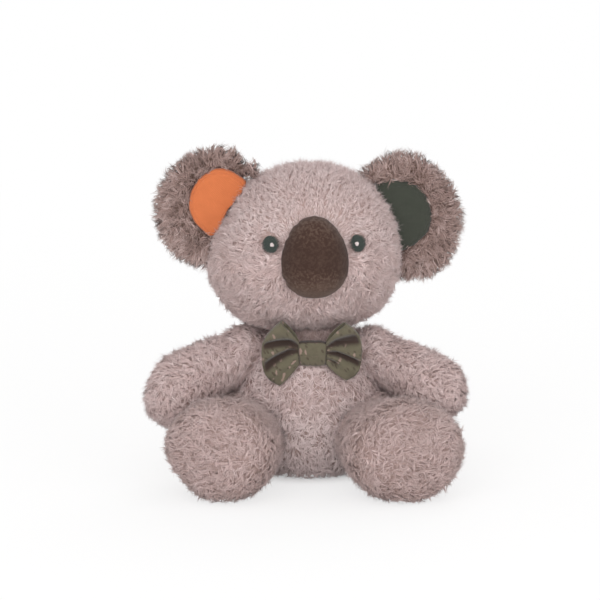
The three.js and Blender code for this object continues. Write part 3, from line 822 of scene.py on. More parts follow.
def roots_on(ob, count, rng):
    """Evenly spread points on a mesh, with the surface's normal at each"""
    mesh = ob.data
    mesh.calc_loop_triangles()
    corners = np.empty(3 * len(mesh.loop_triangles), np.int32)
    mesh.loop_triangles.foreach_get("vertices", corners)
    corners = corners.reshape(-1, 3)
    points, normals = coordinates(mesh), coordinates(mesh, "normal")
    a, b, c = (points[corners[:, k]] for k in range(3))
    area = np.linalg.norm(np.cross(b - a, c - a), axis=1)
    reach = np.cumsum(area)
    at = (np.arange(count) + rng.random(count)) / count * reach[-1]
    pick = np.minimum(np.searchsorted(reach, at), len(area) - 1)
    first, second = rng.random((2, count, 1))
    turned = first + second > 1
    first, second = np.where(turned, 1 - first, first), np.where(turned, 1 - second, second)

    def spread(values):
        a, b, c = (values[corners[pick, k]] for k in range(3))
        return a + first * (b - a) + second * (c - a)

    return spread(points), units(spread(normals))


def depth_in(ob, points):
    """How far each point lies inside a closed mesh, negative outside it"""
    tree = tree_of(ob)
    low, high = (edge(coordinates(ob.data), axis=0) for edge in (np.min, np.max))
    depths = np.full(len(points), -0.1)
    for i in np.flatnonzero(np.all((points > low) & (points < high), axis=1)):
        point = Vector(points[i])
        distance = tree.find_nearest(point)[3]
        depths[i] = distance if is_inside(tree, point) else -distance
    return depths


def is_inside(tree, point):
    """Whether a slanted ray from the point leaves a closed mesh an odd number of times"""
    way, crossings = Vector((0.31, -0.83, 0.46)), 0
    for _ in range(24):
        hit = tree.ray_cast(point, way)[0]
        if hit is None:
            break
        crossings += 1
        point = hit + way * 1e-6
    return crossings % 2 == 1


def flattened(vectors, normals):
    """The part of each vector that lies in the surface, at unit length"""
    return units(vectors - normals * np.sum(vectors * normals, axis=1, keepdims=True))


def downward(normals):
    """A comb down the cloth"""
    return flattened(np.tile([0.0, 0.0, -1.0], (len(normals), 1)) + normals * 0.01, normals)


def turned_by(directions, normals, angle):
    return directions * np.cos(angle)[:, None] + np.cross(normals, directions) * np.sin(angle)[:, None]


def tufts_of(points, spacing, rng):
    """The index of the lock that leads each lock's tuft"""
    cells = np.floor((points + rng.random(3) * spacing) / spacing).astype(np.int64)
    keys = cells @ np.array([1, 4001, 16008001])
    order = rng.permutation(len(points))
    _, first = np.unique(keys[order], return_index=True)
    leaders = order[first]
    tree = KDTree(len(leaders))
    for i, leader in enumerate(leaders):
        tree.insert(points[leader], i)
    tree.balance()
    return leaders[[tree.find(point)[1] for point in points]]


def ringed(root, normal, elbow, tip, width, kind):
    """Three points in each ring along each lock's bend, then its tip, and the way out at each"""
    rings, ways = [], []
    for step, swell in LOCK_RINGS[kind]:
        middle = (1 - step) ** 2 * root + 2 * step * (1 - step) * elbow + step**2 * tip
        along = units((1 - step) * (elbow - root) + step * (tip - elbow))
        out = units(np.cross(along, normal) + 1e-6)
        over = np.cross(out, along)
        for k in range(3):
            angle = math.radians(90 + 120 * k)
            wide = (math.cos(angle) * width * swell / 2)[:, None]
            tall = (math.sin(angle) * width * swell * LOCK_FLATNESS / 2)[:, None]
            rings.append(middle + out * wide + over * tall)
            ways.append(out * math.cos(angle) + over * math.sin(angle))
    return np.stack(rings + [tip], axis=1), np.stack(ways + [along], axis=1)


def lock_shapes(root, normal, coat, sizes, rng):
    """The points of each lock ring by ring, their normals for shading, and the lock's tone"""
    count = len(root)
    leader = tufts_of(root, sizes.tuft_spacing * coat["coarse"], rng)

    def by_tuft(shared, own):
        """A random value that a tuft shares, and a smaller one of each lock's own"""
        return rng.normal(0, 1.0, count)[leader] * shared + rng.normal(0, own, count)

    comb = turned_by(coat["comb"], normal, by_tuft(coat["swirl"], 0.15) + coat["turn"])
    long = coat["length"] * rng.uniform(0.82, 1.15, count) * rng.uniform(0.86, 1.12, count)[leader]
    wisp = rng.random(count) < coat["wisps"]
    long = np.where(wisp, long * WISP_LENGTH, long)
    lie = coat["lie"] - WISP_RISE * wisp
    lie = np.clip(lie + rng.normal(0, 0.06, count) + rng.normal(0, 0.06, count)[leader], 0.1, 0.97)
    heading = units(normal * (1 - lie)[:, None] + comb * lie[:, None])
    tip = root + heading * long[:, None]
    gather = root[leader] + heading[leader] * (long[leader] * 1.02)[:, None]
    cling = np.where(wisp, WISP_CLING, sizes.cling * coat["cling"])[:, None]
    cling = cling * rng.uniform(0.7, 1.15, (count, 1))
    tip = tip * (1 - cling) + gather * cling
    bend = (by_tuft(coat["curl"], 0.08) * long)[:, None]
    elbow = root + normal * (ELBOW_UP * long)[:, None] + comb * (ELBOW_ALONG * long)[:, None]
    elbow = elbow + np.cross(normal, comb) * bend
    width = sizes.lock_width * coat["wide"] * rng.uniform(0.75, 1.2, count)
    width = np.where(wisp, width * WISP_WIDTH, width)
    points, ways = ringed(root, normal, elbow, tip, width, coat["kind"])
    soft = units((ways * SHADE_OWN + normal[:, None, :] * (1 - SHADE_OWN)).reshape(-1, 3))
    points[:, :, 2] = np.maximum(points[:, :, 2], TABLE_GAP)
    tone = coat["tone"] + rng.normal(0, 0.13, count)[leader] + rng.normal(0, 0.13, count)
    # Painted highlight: wisps are painted paler, as fine fibres that catch the light
    return points, soft, np.clip(tone + WISP_PAINTED_HIGHLIGHT * wisp, 0.03, 0.97)


def lock_faces(rings):
    """The faces of one lock of so many rings: its sides, its tip and its root"""
    faces = []
    last = 3 * (rings - 1)
    for low in range(0, last, 3):
        faces += [[low + k, low + 3 + k, low + 3 + (k + 1) % 3, low + (k + 1) % 3] for k in range(3)]
    faces += [[last + k, last + 3, last + (k + 1) % 3] for k in range(3)]
    return faces + [[0, 1, 2]]


def lock_mesh(name, root, normal, coat, sizes, rng):
    """A mesh of tapered, bent locks with a map of each lock's tone and of the way along it"""
    points, soft, tone = lock_shapes(root, normal, coat, sizes, rng)
    count, per_lock = points.shape[:2]
    steps = [step for step, _ in LOCK_RINGS[coat["kind"]]]
    faces = lock_faces(len(steps))
    corner_rows = np.concatenate(faces)
    starts = np.cumsum([0] + [len(face) for face in faces[:-1]])
    each = np.arange(count)[:, None]
    loops = (corner_rows[None, :] + per_lock * each).ravel()
    begins = (starts[None, :] + len(corner_rows) * each).ravel()

    mesh = bpy.data.meshes.new(name)
    mesh.vertices.add(per_lock * count)
    mesh.vertices.foreach_set("co", points.astype(np.float32).ravel())
    mesh.loops.add(len(loops))
    mesh.loops.foreach_set("vertex_index", loops.astype(np.int32))
    mesh.polygons.add(len(begins))
    mesh.polygons.foreach_set("loop_start", begins.astype(np.int32))
    mesh.update(calc_edges=True)
    mesh.shade_smooth()
    mesh.normals_split_custom_set_from_vertices(soft)

    heights = np.array([*np.repeat(steps, 3), 1.0])
    offsets = np.array([0.0, 0.012, 0.006] * len(steps) + [0.006])
    u = tone[:, None] + offsets[None, corner_rows]
    v = np.broadcast_to(heights[corner_rows] * 0.98 + 0.01, u.shape)
    layer = mesh.uv_layers.new(name="OFBake")
    layer.data.foreach_set("uv", np.stack([u, v], axis=2).astype(np.float32).ravel())
    return linked(name, mesh)


def coat_of(count, **values):
    """A coat's values for each lock, whatever was given as one number spread over all"""
    usual = {
        "length": 0.0078, "lie": 0.7, "tone": 0.5, "swirl": 0.5, "turn": 0.0,
        "curl": 0.12, "wide": 1.0, "wisps": 0.16, "cling": 1.0,
    }
    coat = {key: np.broadcast_to(values.get(key, default), (count,)) for key, default in usual.items()}
    coat["comb"] = values["comb"]
    coat["coarse"] = values.get("coarse", 1.0)
    coat["kind"] = values.get("kind", "plain")
    return coat


def head_coat(points, normals, sizes):
    """Short on the forehead, long and combed away from the nose on the cheeks; paler where the face looks
    forward, as painted light, and darker on the jaw, as painted shade
    """
    away = points - np.array(middle_of("nose_cover"))
    front = eased(-normals[:, 1], -0.1, 0.6)
    low = eased(-points[:, 2], -0.212, -0.178)
    down = np.array([0.0, 0.0, -0.35]) * low[:, None]
    face = sizes.face_pile * (1 - low) + sizes.cheek_pile * low
    long = face * front + sizes.body_pile * 0.95 * (1 - front)
    from_nose = np.hypot(away[:, 0] / 0.0275, away[:, 2] / 0.034)
    near_nose = (1 - eased(from_nose, 1.02, 1.3)) * front
    return coat_of(
        len(points),
        comb=flattened(units(away) + down, normals),
        length=long * (1 - 0.45 * near_nose),
        lie=0.62 + 0.12 * low + 0.1 * near_nose,
        # Painted light and shade: the tone rises where the face looks forward above the jaw, and falls on
        # the jaw
        tone=0.58 + 0.12 * (1 - low) * front - 0.12 * low + 0.05 * drift(points, 0.03, 11),
        swirl=(1.0 - 0.35 * low) * (1 - 0.8 * near_nose),
        turn=0.8 * drift(points, 0.024, 12) * (1 - 0.8 * near_nose),
        curl=0.2 + 0.2 * low,
        wide=0.78 + 0.5 * low,
        wisps=0.26 - 0.1 * low,
        cling=0.45 + 0.55 * low,
        coarse=0.9,
    )


def torso_coat(points, normals, sizes):
    """Curly and combed down the belly, its tone raised as painted light, most on the lower belly"""
    return coat_of(
        len(points),
        comb=downward(normals),
        length=sizes.body_pile,
        lie=0.72,
        # Painted light: the torso's tone is set high, and higher on the lower belly, to lift the shade of
        # the legs
        tone=0.68 + 0.06 * drift(points, 0.03, 21) + 0.34 * eased(-points[:, 2], -0.075, -0.025),
        swirl=1.0,
        turn=1.0 * drift(points, 0.024, 22),
        curl=0.4,
        wide=1.1,
    )


def arm_coat(points, normals, sizes, side):
    """Combed along the arm to the hand"""
    along = np.tile(np.array(HAND_OUT[side] - mirrored(SHOULDER, side)), (len(points), 1))
    along = along + (points - np.array(HAND_OUT[side])) * 0.6
    return coat_of(
        len(points),
        comb=flattened(along, normals),
        length=sizes.body_pile,
        lie=0.7,
        tone=0.52 + 0.06 * drift(points, 0.03, 31),
        swirl=0.9,
        turn=0.6 * drift(points, 0.026, 32),
        curl=0.35,
        wide=1.1,
    )


def leg_coat(points, normals, sizes, side):
    """Combed to the foot, swirling on the sole, parted along the sole's seam"""
    spot, toward = SOLE_SEAM[side]
    ahead = (points - np.array(spot)) @ np.array(toward)
    along = units(points - np.array(mirrored(HIP, side)))
    sole = eased(ahead, 0.0, 0.012)
    outward = np.tile([SIDES[side] * 1.0, 0.0, 0.15], (len(points), 1))
    comb = flattened(along * (1 - sole)[:, None] + outward * sole[:, None], normals)
    seam = bell(ahead, 0.0, 0.003)
    return coat_of(
        len(points),
        comb=comb,
        length=sizes.body_pile * (1 - 0.35 * seam),
        lie=0.72,
        tone=0.25 + 0.06 * drift(points, 0.03, 41) - 0.22 * seam,
        swirl=1.05,
        turn=0.9 * drift(points, 0.026, 42),
        curl=0.42,
        wide=1.15,
    )


def ear_coat(points, normals, sizes, side):
    """Long, and combed out from the lining over the rim"""
    middle = np.array(middle_of(f"{side}_ear_lining"))
    away = (points - middle) * np.array([1.0, 0.3, 1.0])
    rim = eased(np.hypot(away[:, 0], away[:, 2]), 0.03, 0.05)
    return coat_of(
        len(points),
        comb=flattened(units(away) + np.array([0.0, -0.15, 0.1]), normals),
        length=sizes.ear_pile,
        lie=0.6,
        tone=0.42 + 0.12 * drift(points, 0.02, 51) + 0.24 * rim,
        swirl=0.85,
        turn=0.7 * drift(points, 0.018, 52),
        curl=0.42,
        wide=0.98,
        wisps=0.24,
        cling=0.8,
        kind="long",
    )


def neck_coat(points, normals, sizes):
    """Combed down, in the shade of the head"""
    return coat_of(
        len(points),
        comb=downward(normals),
        length=sizes.body_pile,
        tone=0.35,
        swirl=0.8,
    )


# Each coat: the number of locks, the panels it is made in, and how it grows
COATS = {
    "torso": (26000, 2, torso_coat),
    "head": (56500, 4, head_coat),
    "neck": (2500, 1, neck_coat),
    "right_ear": (11500, 1, ear_coat),
    "left_ear": (11500, 1, ear_coat),
    "right_arm": (13000, 1, arm_coat),
    "left_arm": (13000, 1, arm_coat),
    "right_leg": (22400, 2, leg_coat),
    "left_leg": (22400, 2, leg_coat),
}

# Each backing: the CAD nodes it stands for, the voxel that evens it out, and how deep it lies in them
PELTS = {
    "torso": (("torso_skin", "torso_stuffing"), 0.0042, 0.0004),
    "head": (("head_skin", "head_stuffing"), 0.0045, 0.0042),
    "neck": (("neck_stuffing",), 0.004, 0.0005),
    "right_ear": (("right_ear_pile", "right_ear_stuffing"), 0.0032, 0.0058),
    "left_ear": (("left_ear_pile", "left_ear_stuffing"), 0.0032, 0.0052),
    "right_arm": (("right_arm_skin", "right_arm_stuffing"), 0.0038, 0.0022),
    "left_arm": (("left_arm_skin", "left_arm_stuffing"), 0.0038, 0.0028),
    "right_leg": (("right_leg_skin", "right_foot_sole", "right_leg_stuffing"), 0.0042, 0.0028),
    "left_leg": (("left_leg_skin", "left_foot_sole", "left_leg_stuffing"), 0.0042, 0.0028),
}

# The filling that a limb's root holds inside its seam: its middle on the left side, and its radius
ROOT_PLUGS = {
    "arm": (Vector((0.051, -0.010, 0.0985)), 0.0235),
    "leg": (Vector((0.052, -0.023, 0.0405)), 0.0295),
}


def join_to_body(ob, body):
    """Rides a body; a piece that crosses a limb's joint, or an ear, stays in place without one"""
    side, _, part = body.partition("_")
    if part in BENDS:
        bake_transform(ob)
    elif part == "ear":
        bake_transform(ob)
    else:
        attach(ob, body)


def dress(ob, material, slot, body, *nodes):
    """Gives a piece its material and its body, and hides the CAD nodes that it stands for"""
    ob.data.materials.clear()
    ob.data.materials.append(material)
    join_to_body(ob, body)
    if nodes:
        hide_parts(*nodes)


# Cloth and thread


def ring_cloth(name, rings):
    """A patch of cloth from rings that close on their common middle, with a map in metres"""
    count, around = rings.shape[:2]
    points = np.concatenate([rings.reshape(-1, 3), rings[-1].mean(0, keepdims=True)])
    faces = []
    for ring in range(count - 1):
        for k in range(around):
            a, b = ring * around + k, ring * around + (k + 1) % around
            faces.append((a, b, b + around, a + around))
    last = (count - 1) * around
    faces += [(last + k, last + (k + 1) % around, len(points) - 1) for k in range(around)]
    return mesh_object(name, points, faces)


def map_flat(ob, across, up):
    """A map named weave: each point's place across and up, in metres"""
    mesh = ob.data
    places = np.stack([across, up], axis=1)
    corners = np.empty(len(mesh.loops), np.int32)
    mesh.loops.foreach_get("vertex_index", corners)
    layer = mesh.uv_layers.new(name="weave")
    layer.data.foreach_set("uv", places[corners].astype(np.float32).ravel())


def stitch(name, size):
    """One stitch: a thread that dives in at both ends"""
    bpy.ops.object.select_all(action="DESELECT")
    bpy.ops.mesh.primitive_uv_sphere_add(segments=6, ring_count=6, radius=0.5, rotation=(0, math.pi / 2, 0))
    one = added(name)
    one.scale = (size[2], size[1], size[0])
    settle(one)
    return one


def sewn(name, one, places):
    """Copies one stitch to each place: its middle, its run, the cloth's normal and its length"""
    shape = coordinates(one.data)
    faces = [tuple(p.vertices) for p in one.data.polygons]
    points, all_faces = [], []
    for middle, run, normal, long in places:
        run = Vector(run).normalized()
        up = Vector(normal).normalized()
        over = up.cross(run).normalized()
        up = run.cross(over)
        turn = np.array([run * long, over, up])
        start = sum(len(p) for p in points)
        points.append(shape @ turn + np.array(middle))
        all_faces += [tuple(start + i for i in face) for face in faces]
    bpy.data.objects.remove(one)
    return mesh_object(name, np.concatenate(points), all_faces)


class KoalaOperator(bpy.types.Operator):
    """What the operators share"""

    bl_options = {"REGISTER", "UNDO"}

    @property
    def sizes(self):
        return bpy.context.scene.koala_sizes

    def dyes(self, *names):
        """The colours of these names"""
        return [tuple(getattr(bpy.context.scene.koala_colours, name)) for name in names]


class KOALA_OT_stage(KoalaOperator):
    """Makes the floor, the soft light and the camera"""

    bl_idname = "koala.stage"
    bl_label = "Stage"

    def execute(self, context):
        context.scene.view_settings.view_transform = "Standard"
        self.floor()
        self.sky(context.scene)
        for name, lamp in LAMPS.items():
            self.lamp(name, *lamp)
        self.camera(context.scene)
        return {"FINISHED"}

    def floor(self):
        """White to the camera but for the toy's shadow, and wholly white far off"""
        bpy.ops.object.select_all(action="DESELECT")
        bpy.ops.mesh.primitive_plane_add(size=8.0)
        floor = added("floor")
        paint = Paint("pale_floor", roughness=0.9, specular=0.0)
        where = paint.place()
        speckle = paint.noise(where, 40.0)
        reach = paint.node("ShaderNodeVectorMath", {"operation": "LENGTH"}, {0: where}, 1)
        paint.colour(paint.mix(speckle * 0.2, (0.95, 0.95, 0.95, 1), (0.97, 0.97, 0.97, 1)))
        glow = paint.node("ShaderNodeEmission", {}, {"Color": (1, 1, 1, 1), "Strength": 1.0})
        near = reach.eased(0.03, 0.06) * 0.3 + reach.eased(0.1, 0.2) * 0.05
        white = paint.rays() * (0.42 + near + reach.eased(0.4, 1.2) * 0.23)
        plain = Wire(paint, paint.shader.outputs[0])
        paint.show(paint.node("ShaderNodeMixShader", {}, {0: white, 1: plain, 2: glow}))
        floor.data.materials.append(paint.material)

    def sky(self, scene):
        """Soft light from all round, on a backdrop that the camera sees as white"""
        scene.world = bpy.data.worlds.new("studio")
        nodes = Nodes(scene.world, "ShaderNodeOutputWorld")
        soft = {"Color": (1, 0.99, 0.985, 1), "Strength": 0.66}
        white = {"Color": (1, 1, 1, 1), "Strength": 1.0}
        soft, white = (nodes.node("ShaderNodeBackground", {}, light) for light in (soft, white))
        nodes.show(nodes.node("ShaderNodeMixShader", {}, {0: nodes.rays(), 1: soft, 2: white}))

    def lamp(self, name, spot, size, power):
        bpy.ops.object.light_add(type="AREA", location=spot)
        lamp = bpy.context.object
        lamp.name = name
        lamp.data.size = size
        lamp.data.energy = power
        lamp.rotation_euler = (LAMP_AIM - Vector(spot)).to_track_quat("-Z", "Y").to_euler()

    def camera(self, scene):
        way = Vector((0, -math.cos(CAMERA_RISE), math.sin(CAMERA_RISE)))
        bpy.ops.object.camera_add(location=CAMERA_AIM + CAMERA_AWAY * way)
        camera = bpy.context.object
        camera.name = "camera"
        camera.rotation_euler = Euler((math.pi / 2 - CAMERA_RISE, 0, 0))
        camera.data.sensor_width = 36
        camera.data.lens = CAMERA_LENS
        camera.data.clip_end = 40
        scene.camera = camera


class KOALA_OT_pelts(KoalaOperator):
    """Makes the stuffed backings that the pile grows on"""

    bl_idname = "koala.pelts"
    bl_label = "Backings"

    def execute(self, context):
        sizes = self.sizes
        body = backing_finish("body_backing", *self.dyes("backing", "fur_deep"))
        ear = backing_finish("ear_backing", *self.dyes("ear_deep", "ear_mid"))
        shapers = {"ear": trimmed_ear, "leg": tucked_under, "arm": laid_down}
        for name, (nodes, voxel, inset) in PELTS.items():
            pad = stuffed(f"{name}_pelt", nodes, inset * sizes.sinking, voxel, sizes.swell)
            side, _, part = name.partition("_")
            if part:
                place(pad.data, shapers[part](coordinates(pad.data), side))
            if name == "head":
                place(pad.data, leaned(coordinates(pad.data)))
            finish, slot = (ear, "long_pile") if part == "ear" else (body, "fur")
            dress(pad, finish, slot, name, *nodes)
        return {"FINISHED"}


class KOALA_OT_nose(KoalaOperator):
    """Makes the velvet nose"""

    bl_idname = "koala.nose"
    bl_label = "Nose"

    def execute(self, context):
        nodes = ("nose_cover", "nose_stuffing")
        nose = stuffed("nose", nodes, 0.0, 0.0026, 0.0012)
        points = coordinates(nose.data)
        middle = middle_of("nose_cover").x
        points[:, 0] = middle + (points[:, 0] - middle) * NOSE_WIDTH_SHARE - NOSE_SHIFT
        place(nose.data, points)
        low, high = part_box("nose_cover")
        finish = velvet_finish("nose_velvet", *self.dyes("nose", "nose_pale_and_sheen"), low.z, high.z)
        dress(nose, finish, "nose_velvet", "head", *nodes)
        return {"FINISHED"}


class KOALA_OT_eyes(KoalaOperator):
    """Embroiders the eyes and their highlights"""

    bl_idname = "koala.eyes"
    bl_label = "Eyes"

    def execute(self, context):
        eye = thread_finish("eye_thread", *self.dyes("eye"))
        glint = thread_finish("highlight_thread", *self.dyes("highlight"))
        thread = self.sizes.thread
        for side in SIDES:
            node = f"{side}_eye"
            low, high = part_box(node)
            middle = (low + high) / 2 + EYE_SET[side]
            radius = (high.z - low.z) / 2 * EYE_SPREAD
            facing = self.facing(node)
            disc = self.satin(f"{node}_satin", middle + facing * 0.0008, facing, radius, thread, 0.4)
            dress(disc, eye, "eye_thread", "head", node)
            spot = middle_of(f"{node}_highlight") + EYE_SET[side] + facing * 0.0012
            mark = self.satin(f"{node}_glint", spot, facing, radius * GLINT_SHARE, thread * 0.8, 0.9)
            dress(mark, glint, "highlight_thread", "head", f"{node}_highlight")
        return {"FINISHED"}

    def facing(self, node):
        """The direction that a thin disc faces, towards the front"""
        points = coordinates(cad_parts[node].data)
        _, _, axes = np.linalg.svd(points - points.mean(0), full_matrices=False)
        normal = Vector(axes[2])
        return normal if normal.y < 0 else -normal

    def satin(self, name, middle, facing, radius, thread, slant):
        """Side by side stitches that fill a round, higher in the middle"""
        across = Vector((math.cos(slant), 0, math.sin(slant)))
        run = (across - facing * across.dot(facing)).normalized()
        over = facing.cross(run)
        count = max(int(2 * radius / (thread * 0.72)), 3)
        rng = np.random.default_rng(71)
        places = []
        for i in range(count):
            share = -1 + (2 * i + 1) / count
            half = radius * math.sqrt(max(1 - share * share, 0.04))
            crown = 0.0012 * (1 - share * share)
            long = 2 * half * rng.uniform(0.98, 1.2)
            slip = run * (half * rng.uniform(-0.06, 0.06))
            places.append((middle + slip + over * (share * radius) + facing * crown, run, facing, long))
        return sewn(name, stitch(name, (1.0, thread, thread * 2.2)), places)


class KOALA_OT_linings(KoalaOperator):
    """Makes the woven linings of the ears, with their row of stitches"""

    bl_idname = "koala.linings"
    bl_label = "Ear linings"

    def execute(self, context):
        for side in SIDES:
            node = f"{side}_ear_lining"
            (dye,) = self.dyes(f"{side}_lining")
            slot = "orange_weave" if side == "right" else "green_weave"
            rings, ring_at = self.rings(node)
            patch = ring_cloth(f"{side}_ear_patch", rings)
            flat = coordinates(patch.data)
            map_flat(patch, flat[:, 0], flat[:, 2])
            place(patch.data, trimmed_ear(flat, side))
            thicken(patch, 0.0008)
            dress(patch, woven_finish(slot, dye), slot, f"{side}_ear", node)
            seam = self.seam(side, ring_at)
            place(seam.data, trimmed_ear(coordinates(seam.data), side))
            dress(seam, thread_finish(f"{slot}_thread", dye), slot, f"{side}_ear")
        return {"FINISHED"}

    def rim(self, node, tree, middle, around):
        """The patch's outline: its solid's from the front, cut back next to the head and evened out"""
        reach = max(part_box(node)[1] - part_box(node)[0])
        cut_at, cut_width, cut_share = LINING_CUT[node.split("_")[0]]
        rim = []
        for k in range(around):
            angle = 2 * math.pi * k / around
            way = np.array([math.cos(angle), 0, math.sin(angle)])
            inside, outside = 0.0, reach
            for _ in range(16):
                half = (inside + outside) / 2
                x, _, z = middle + way * half
                hit = seen_from_front(tree, x, z)
                inside, outside = (half, outside) if hit else (inside, half)
            off = abs((math.degrees(angle) - cut_at + 180) % 360 - 180)
            rim.append(middle + way * inside * (1 - cut_share * (1 - eased(off, 0, cut_width))))
        rim = np.array(rim)
        for _ in range(3):
            rim = (np.roll(rim, 1, axis=0) + 2 * rim + np.roll(rim, -1, axis=0)) / 4
        return rim

    def rings(self, node):
        """Rings of the patch from its rim to its middle, and a function that gives one at a share"""
        tree = tree_of(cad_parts[node])
        middle = np.array(middle_of(node))
        around = 96
        rim = self.rim(node, tree, middle, around)
        waves = np.random.default_rng(61).uniform(0, 2 * math.pi, 2)
        angles = 2 * math.pi * np.arange(around) / around

        def ring_at(share, lift):
            ring = middle + (rim - middle) * share
            for k in range(around):
                x, _, z = middle + (rim[k] - middle) * min(share, 0.93)
                hit = seen_from_front(tree, x, z)
                front = hit.y if hit else middle[1]
                pucker = 0.0004 * math.sin(9 * angles[k] + waves[0]) * share**3
                fold = 0.0006 * math.sin(2 * angles[k] + waves[1]) * share
                ring[k][1] = front - lift + pucker + fold
            return ring

        shares = list(LINING_RIM)
        shares += [(s, 0.0009 + 0.0012 * (1 - s)) for s in (0.85, 0.78, 0.7, 0.6, 0.5, 0.4, 0.3, 0.2, 0.1)]
        return np.array([ring_at(*pair) for pair in shares]), ring_at

    def seam(self, side, ring_at):
        ring = ring_at(0.91, 0.0006)
        count = len(ring)
        places = []
        for k in range(0, count, 2):
            run = ring[(k + 1) % count] - ring[k]
            places.append(((ring[k] + ring[(k + 1) % count]) / 2, run, (0, -1, 0), 0.0024))
        return sewn(f"{side}_ear_seam", stitch("stitch", (1.0, 0.0004, 0.0007)), places)


class KOALA_OT_bow(KoalaOperator):
    """Folds the bow and wraps its knot"""

    bl_idname = "koala.bow"
    bl_label = "Bow"

    def execute(self, context):
        sizes = self.sizes
        cloth = print_finish("bow_print", *self.dyes("bow", "bow_light", "bow_dark"))
        turn = Matrix.Translation(middle_of("bow_knot_wrap")) @ Matrix.Rotation(BOW_LEAN, 4, "X")
        loops, flat_size = self.loops(sizes)
        loops.data.transform(turn)
        dress(loops, cloth, "bow_cloth", "torso", "bow_cloth", "bow_tack")
        knot = self.knot()
        knot.data.transform(turn)
        dress(knot, cloth, "bow_cloth", "torso", "bow_knot_wrap")
        return {"FINISHED"}

    def loops(self, sizes):
        """One closed band: flat under the knot, and out round each loop's end"""
        steps, rows, flat = 26, 76, 3
        around = 4 * steps
        rise = np.linspace(-1, 1, rows + 1)
        grid = np.zeros((around, rows + 1, 3))
        fold = np.zeros((around, rows + 1))
        travelled = np.zeros((around, rows + 1))
        for i in range(around):
            quarter, taken = divmod(i, steps)
            progress = taken if quarter % 2 == 0 else steps - taken
            swing = math.pi / 2 * max(progress - flat, 0) / (steps - flat)
            side = 1 if quarter < 2 else -1
            front = quarter in (0, 3)
            loop = LOOPS[side]
            out, shut = math.sin(swing), math.cos(swing)
            reach = np.interp(rise, LOOP_RISES, loop["reach"])
            for _ in range(4):
                reach[1:-1] = (reach[:-2] + 2 * reach[1:-1] + reach[2:]) / 4
            x = min(progress / flat, 1) * KNOT_HOLD + (reach - KNOT_HOLD) * out
            foot = loop["pinch"][0] + (loop["end"][0] - loop["pinch"][0]) * out**0.9
            top = loop["pinch"][1] + (loop["end"][1] - loop["pinch"][1]) * out**0.66
            thick = PINCH_DEPTH + (LOOP_DEPTH - PINCH_DEPTH) * math.sqrt(out)
            bulge = math.sqrt(max(shut, 0)) * thick / 2
            if front:
                valley = self.valley(loop["pleats"], rise, out)
                ridge = 0.0011 * np.cos(rise * 8 + side) * out + 0.0005 * np.sin(rise * 21 + 5 * out) * out
                y = -bulge + sizes.bow_fold * min(out * 3.2, 1) * shut**0.55 * valley - ridge * shut
                # Painted shade: how deep each point lies in a pleat's valley, which darkens the cloth there
                fold[i] = np.clip(valley, 0, 1) ** 1.4 * min(out * 3.5 + 0.25, 1) * shut**0.3
            else:
                y = np.full(rows + 1, bulge)
            grid[i, :, 0] = side * x
            grid[i, :, 1] = y - (thick - PINCH_DEPTH) / 2
            grid[i, :, 2] = foot + (top - foot) * (rise + 1) / 2
            travelled[i] = side * x if front else side * (0.08 - x)
        ob = self.band("bow_loops", grid, fold)
        map_flat(ob, travelled.ravel(), np.tile(rise, around) * 0.026)
        thicken(ob, sizes.bow_cloth)
        return ob, (0.162, 0.055)

    def valley(self, pleats, rise, out):
        """How deep each point up a loop lies in its pleats, this far out from the knot"""
        valley = np.zeros(len(rise))
        for start, end, narrow, wide, deep, ends in pleats:
            middle = start + (end - start) * out
            broad = narrow + (wide - narrow) * out
            lasts = 1 - float(eased(out, ends - 0.2, ends))
            valley += deep * lasts * np.exp(-np.abs((rise - middle) / broad) ** 2.6)
        return valley

    def knot(self):
        """A band that wraps the pinch, creased and fuller at its middle"""
        wide, high, deep = KNOT_SIZE
        rows, around = 24, 60
        across = np.linspace(-1, 1, rows + 1)
        grid = np.zeros((around, rows + 1, 3))
        fold = np.zeros((around, rows + 1))
        for i in range(around):
            angle = 2 * math.pi * i / around
            crease = np.clip(-np.cos(across * 9 + 1.6 * math.sin(angle)), 0, 1) ** 5
            fuller = 1 - 0.16 * across**4 - 0.03 * crease
            edge = 1 + 0.07 * math.sin(angle)
            box = (abs(math.cos(angle)) ** 3 + abs(math.sin(angle)) ** 3) ** (-1 / 3)
            grid[i, :, 0] = across * wide / 2 * edge
            grid[i, :, 1] = -math.cos(angle) * box * (deep / 2 - 0.0006) * fuller
            grid[i, :, 2] = math.sin(angle) * box * (high / 2 - 0.0006) * fuller
            turned_in = float(eased(abs(math.sin(angle)), 0.86, 1.0))
            # Painted shade for the knot's creases, its turned-in top and bottom, and its ends
            fold[i] = np.clip(0.14 * crease + 0.9 * turned_in + 0.5 * eased(np.abs(across), 0.86, 1.0), 0, 1)
        ob = self.band("bow_knot", grid, fold)
        round_it = np.repeat(np.arange(around) / around * 0.05, rows + 1)
        map_flat(ob, np.tile(across * wide / 2, around) + 0.3, round_it)
        thicken(ob, 0.0012)
        return ob

    def band(self, name, grid, fold):
        """A closed band from rows of points, with how deep each lies in a fold, kept as its share of painted
        shade
        """
        around, rows = grid.shape[:2]
        faces = []
        for i in range(around):
            j = (i + 1) % around
            for k in range(rows - 1):
                faces.append((i * rows + k, j * rows + k, j * rows + k + 1, i * rows + k + 1))
        ob = mesh_object(name, grid.reshape(-1, 3), faces)
        attribute = ob.data.attributes.new("fold", "FLOAT", "POINT")
        attribute.data.foreach_set("value", fold.ravel().astype(np.float32))
        on_all(ob, bpy.ops.mesh.normals_make_consistent, inside=False)
        return ob


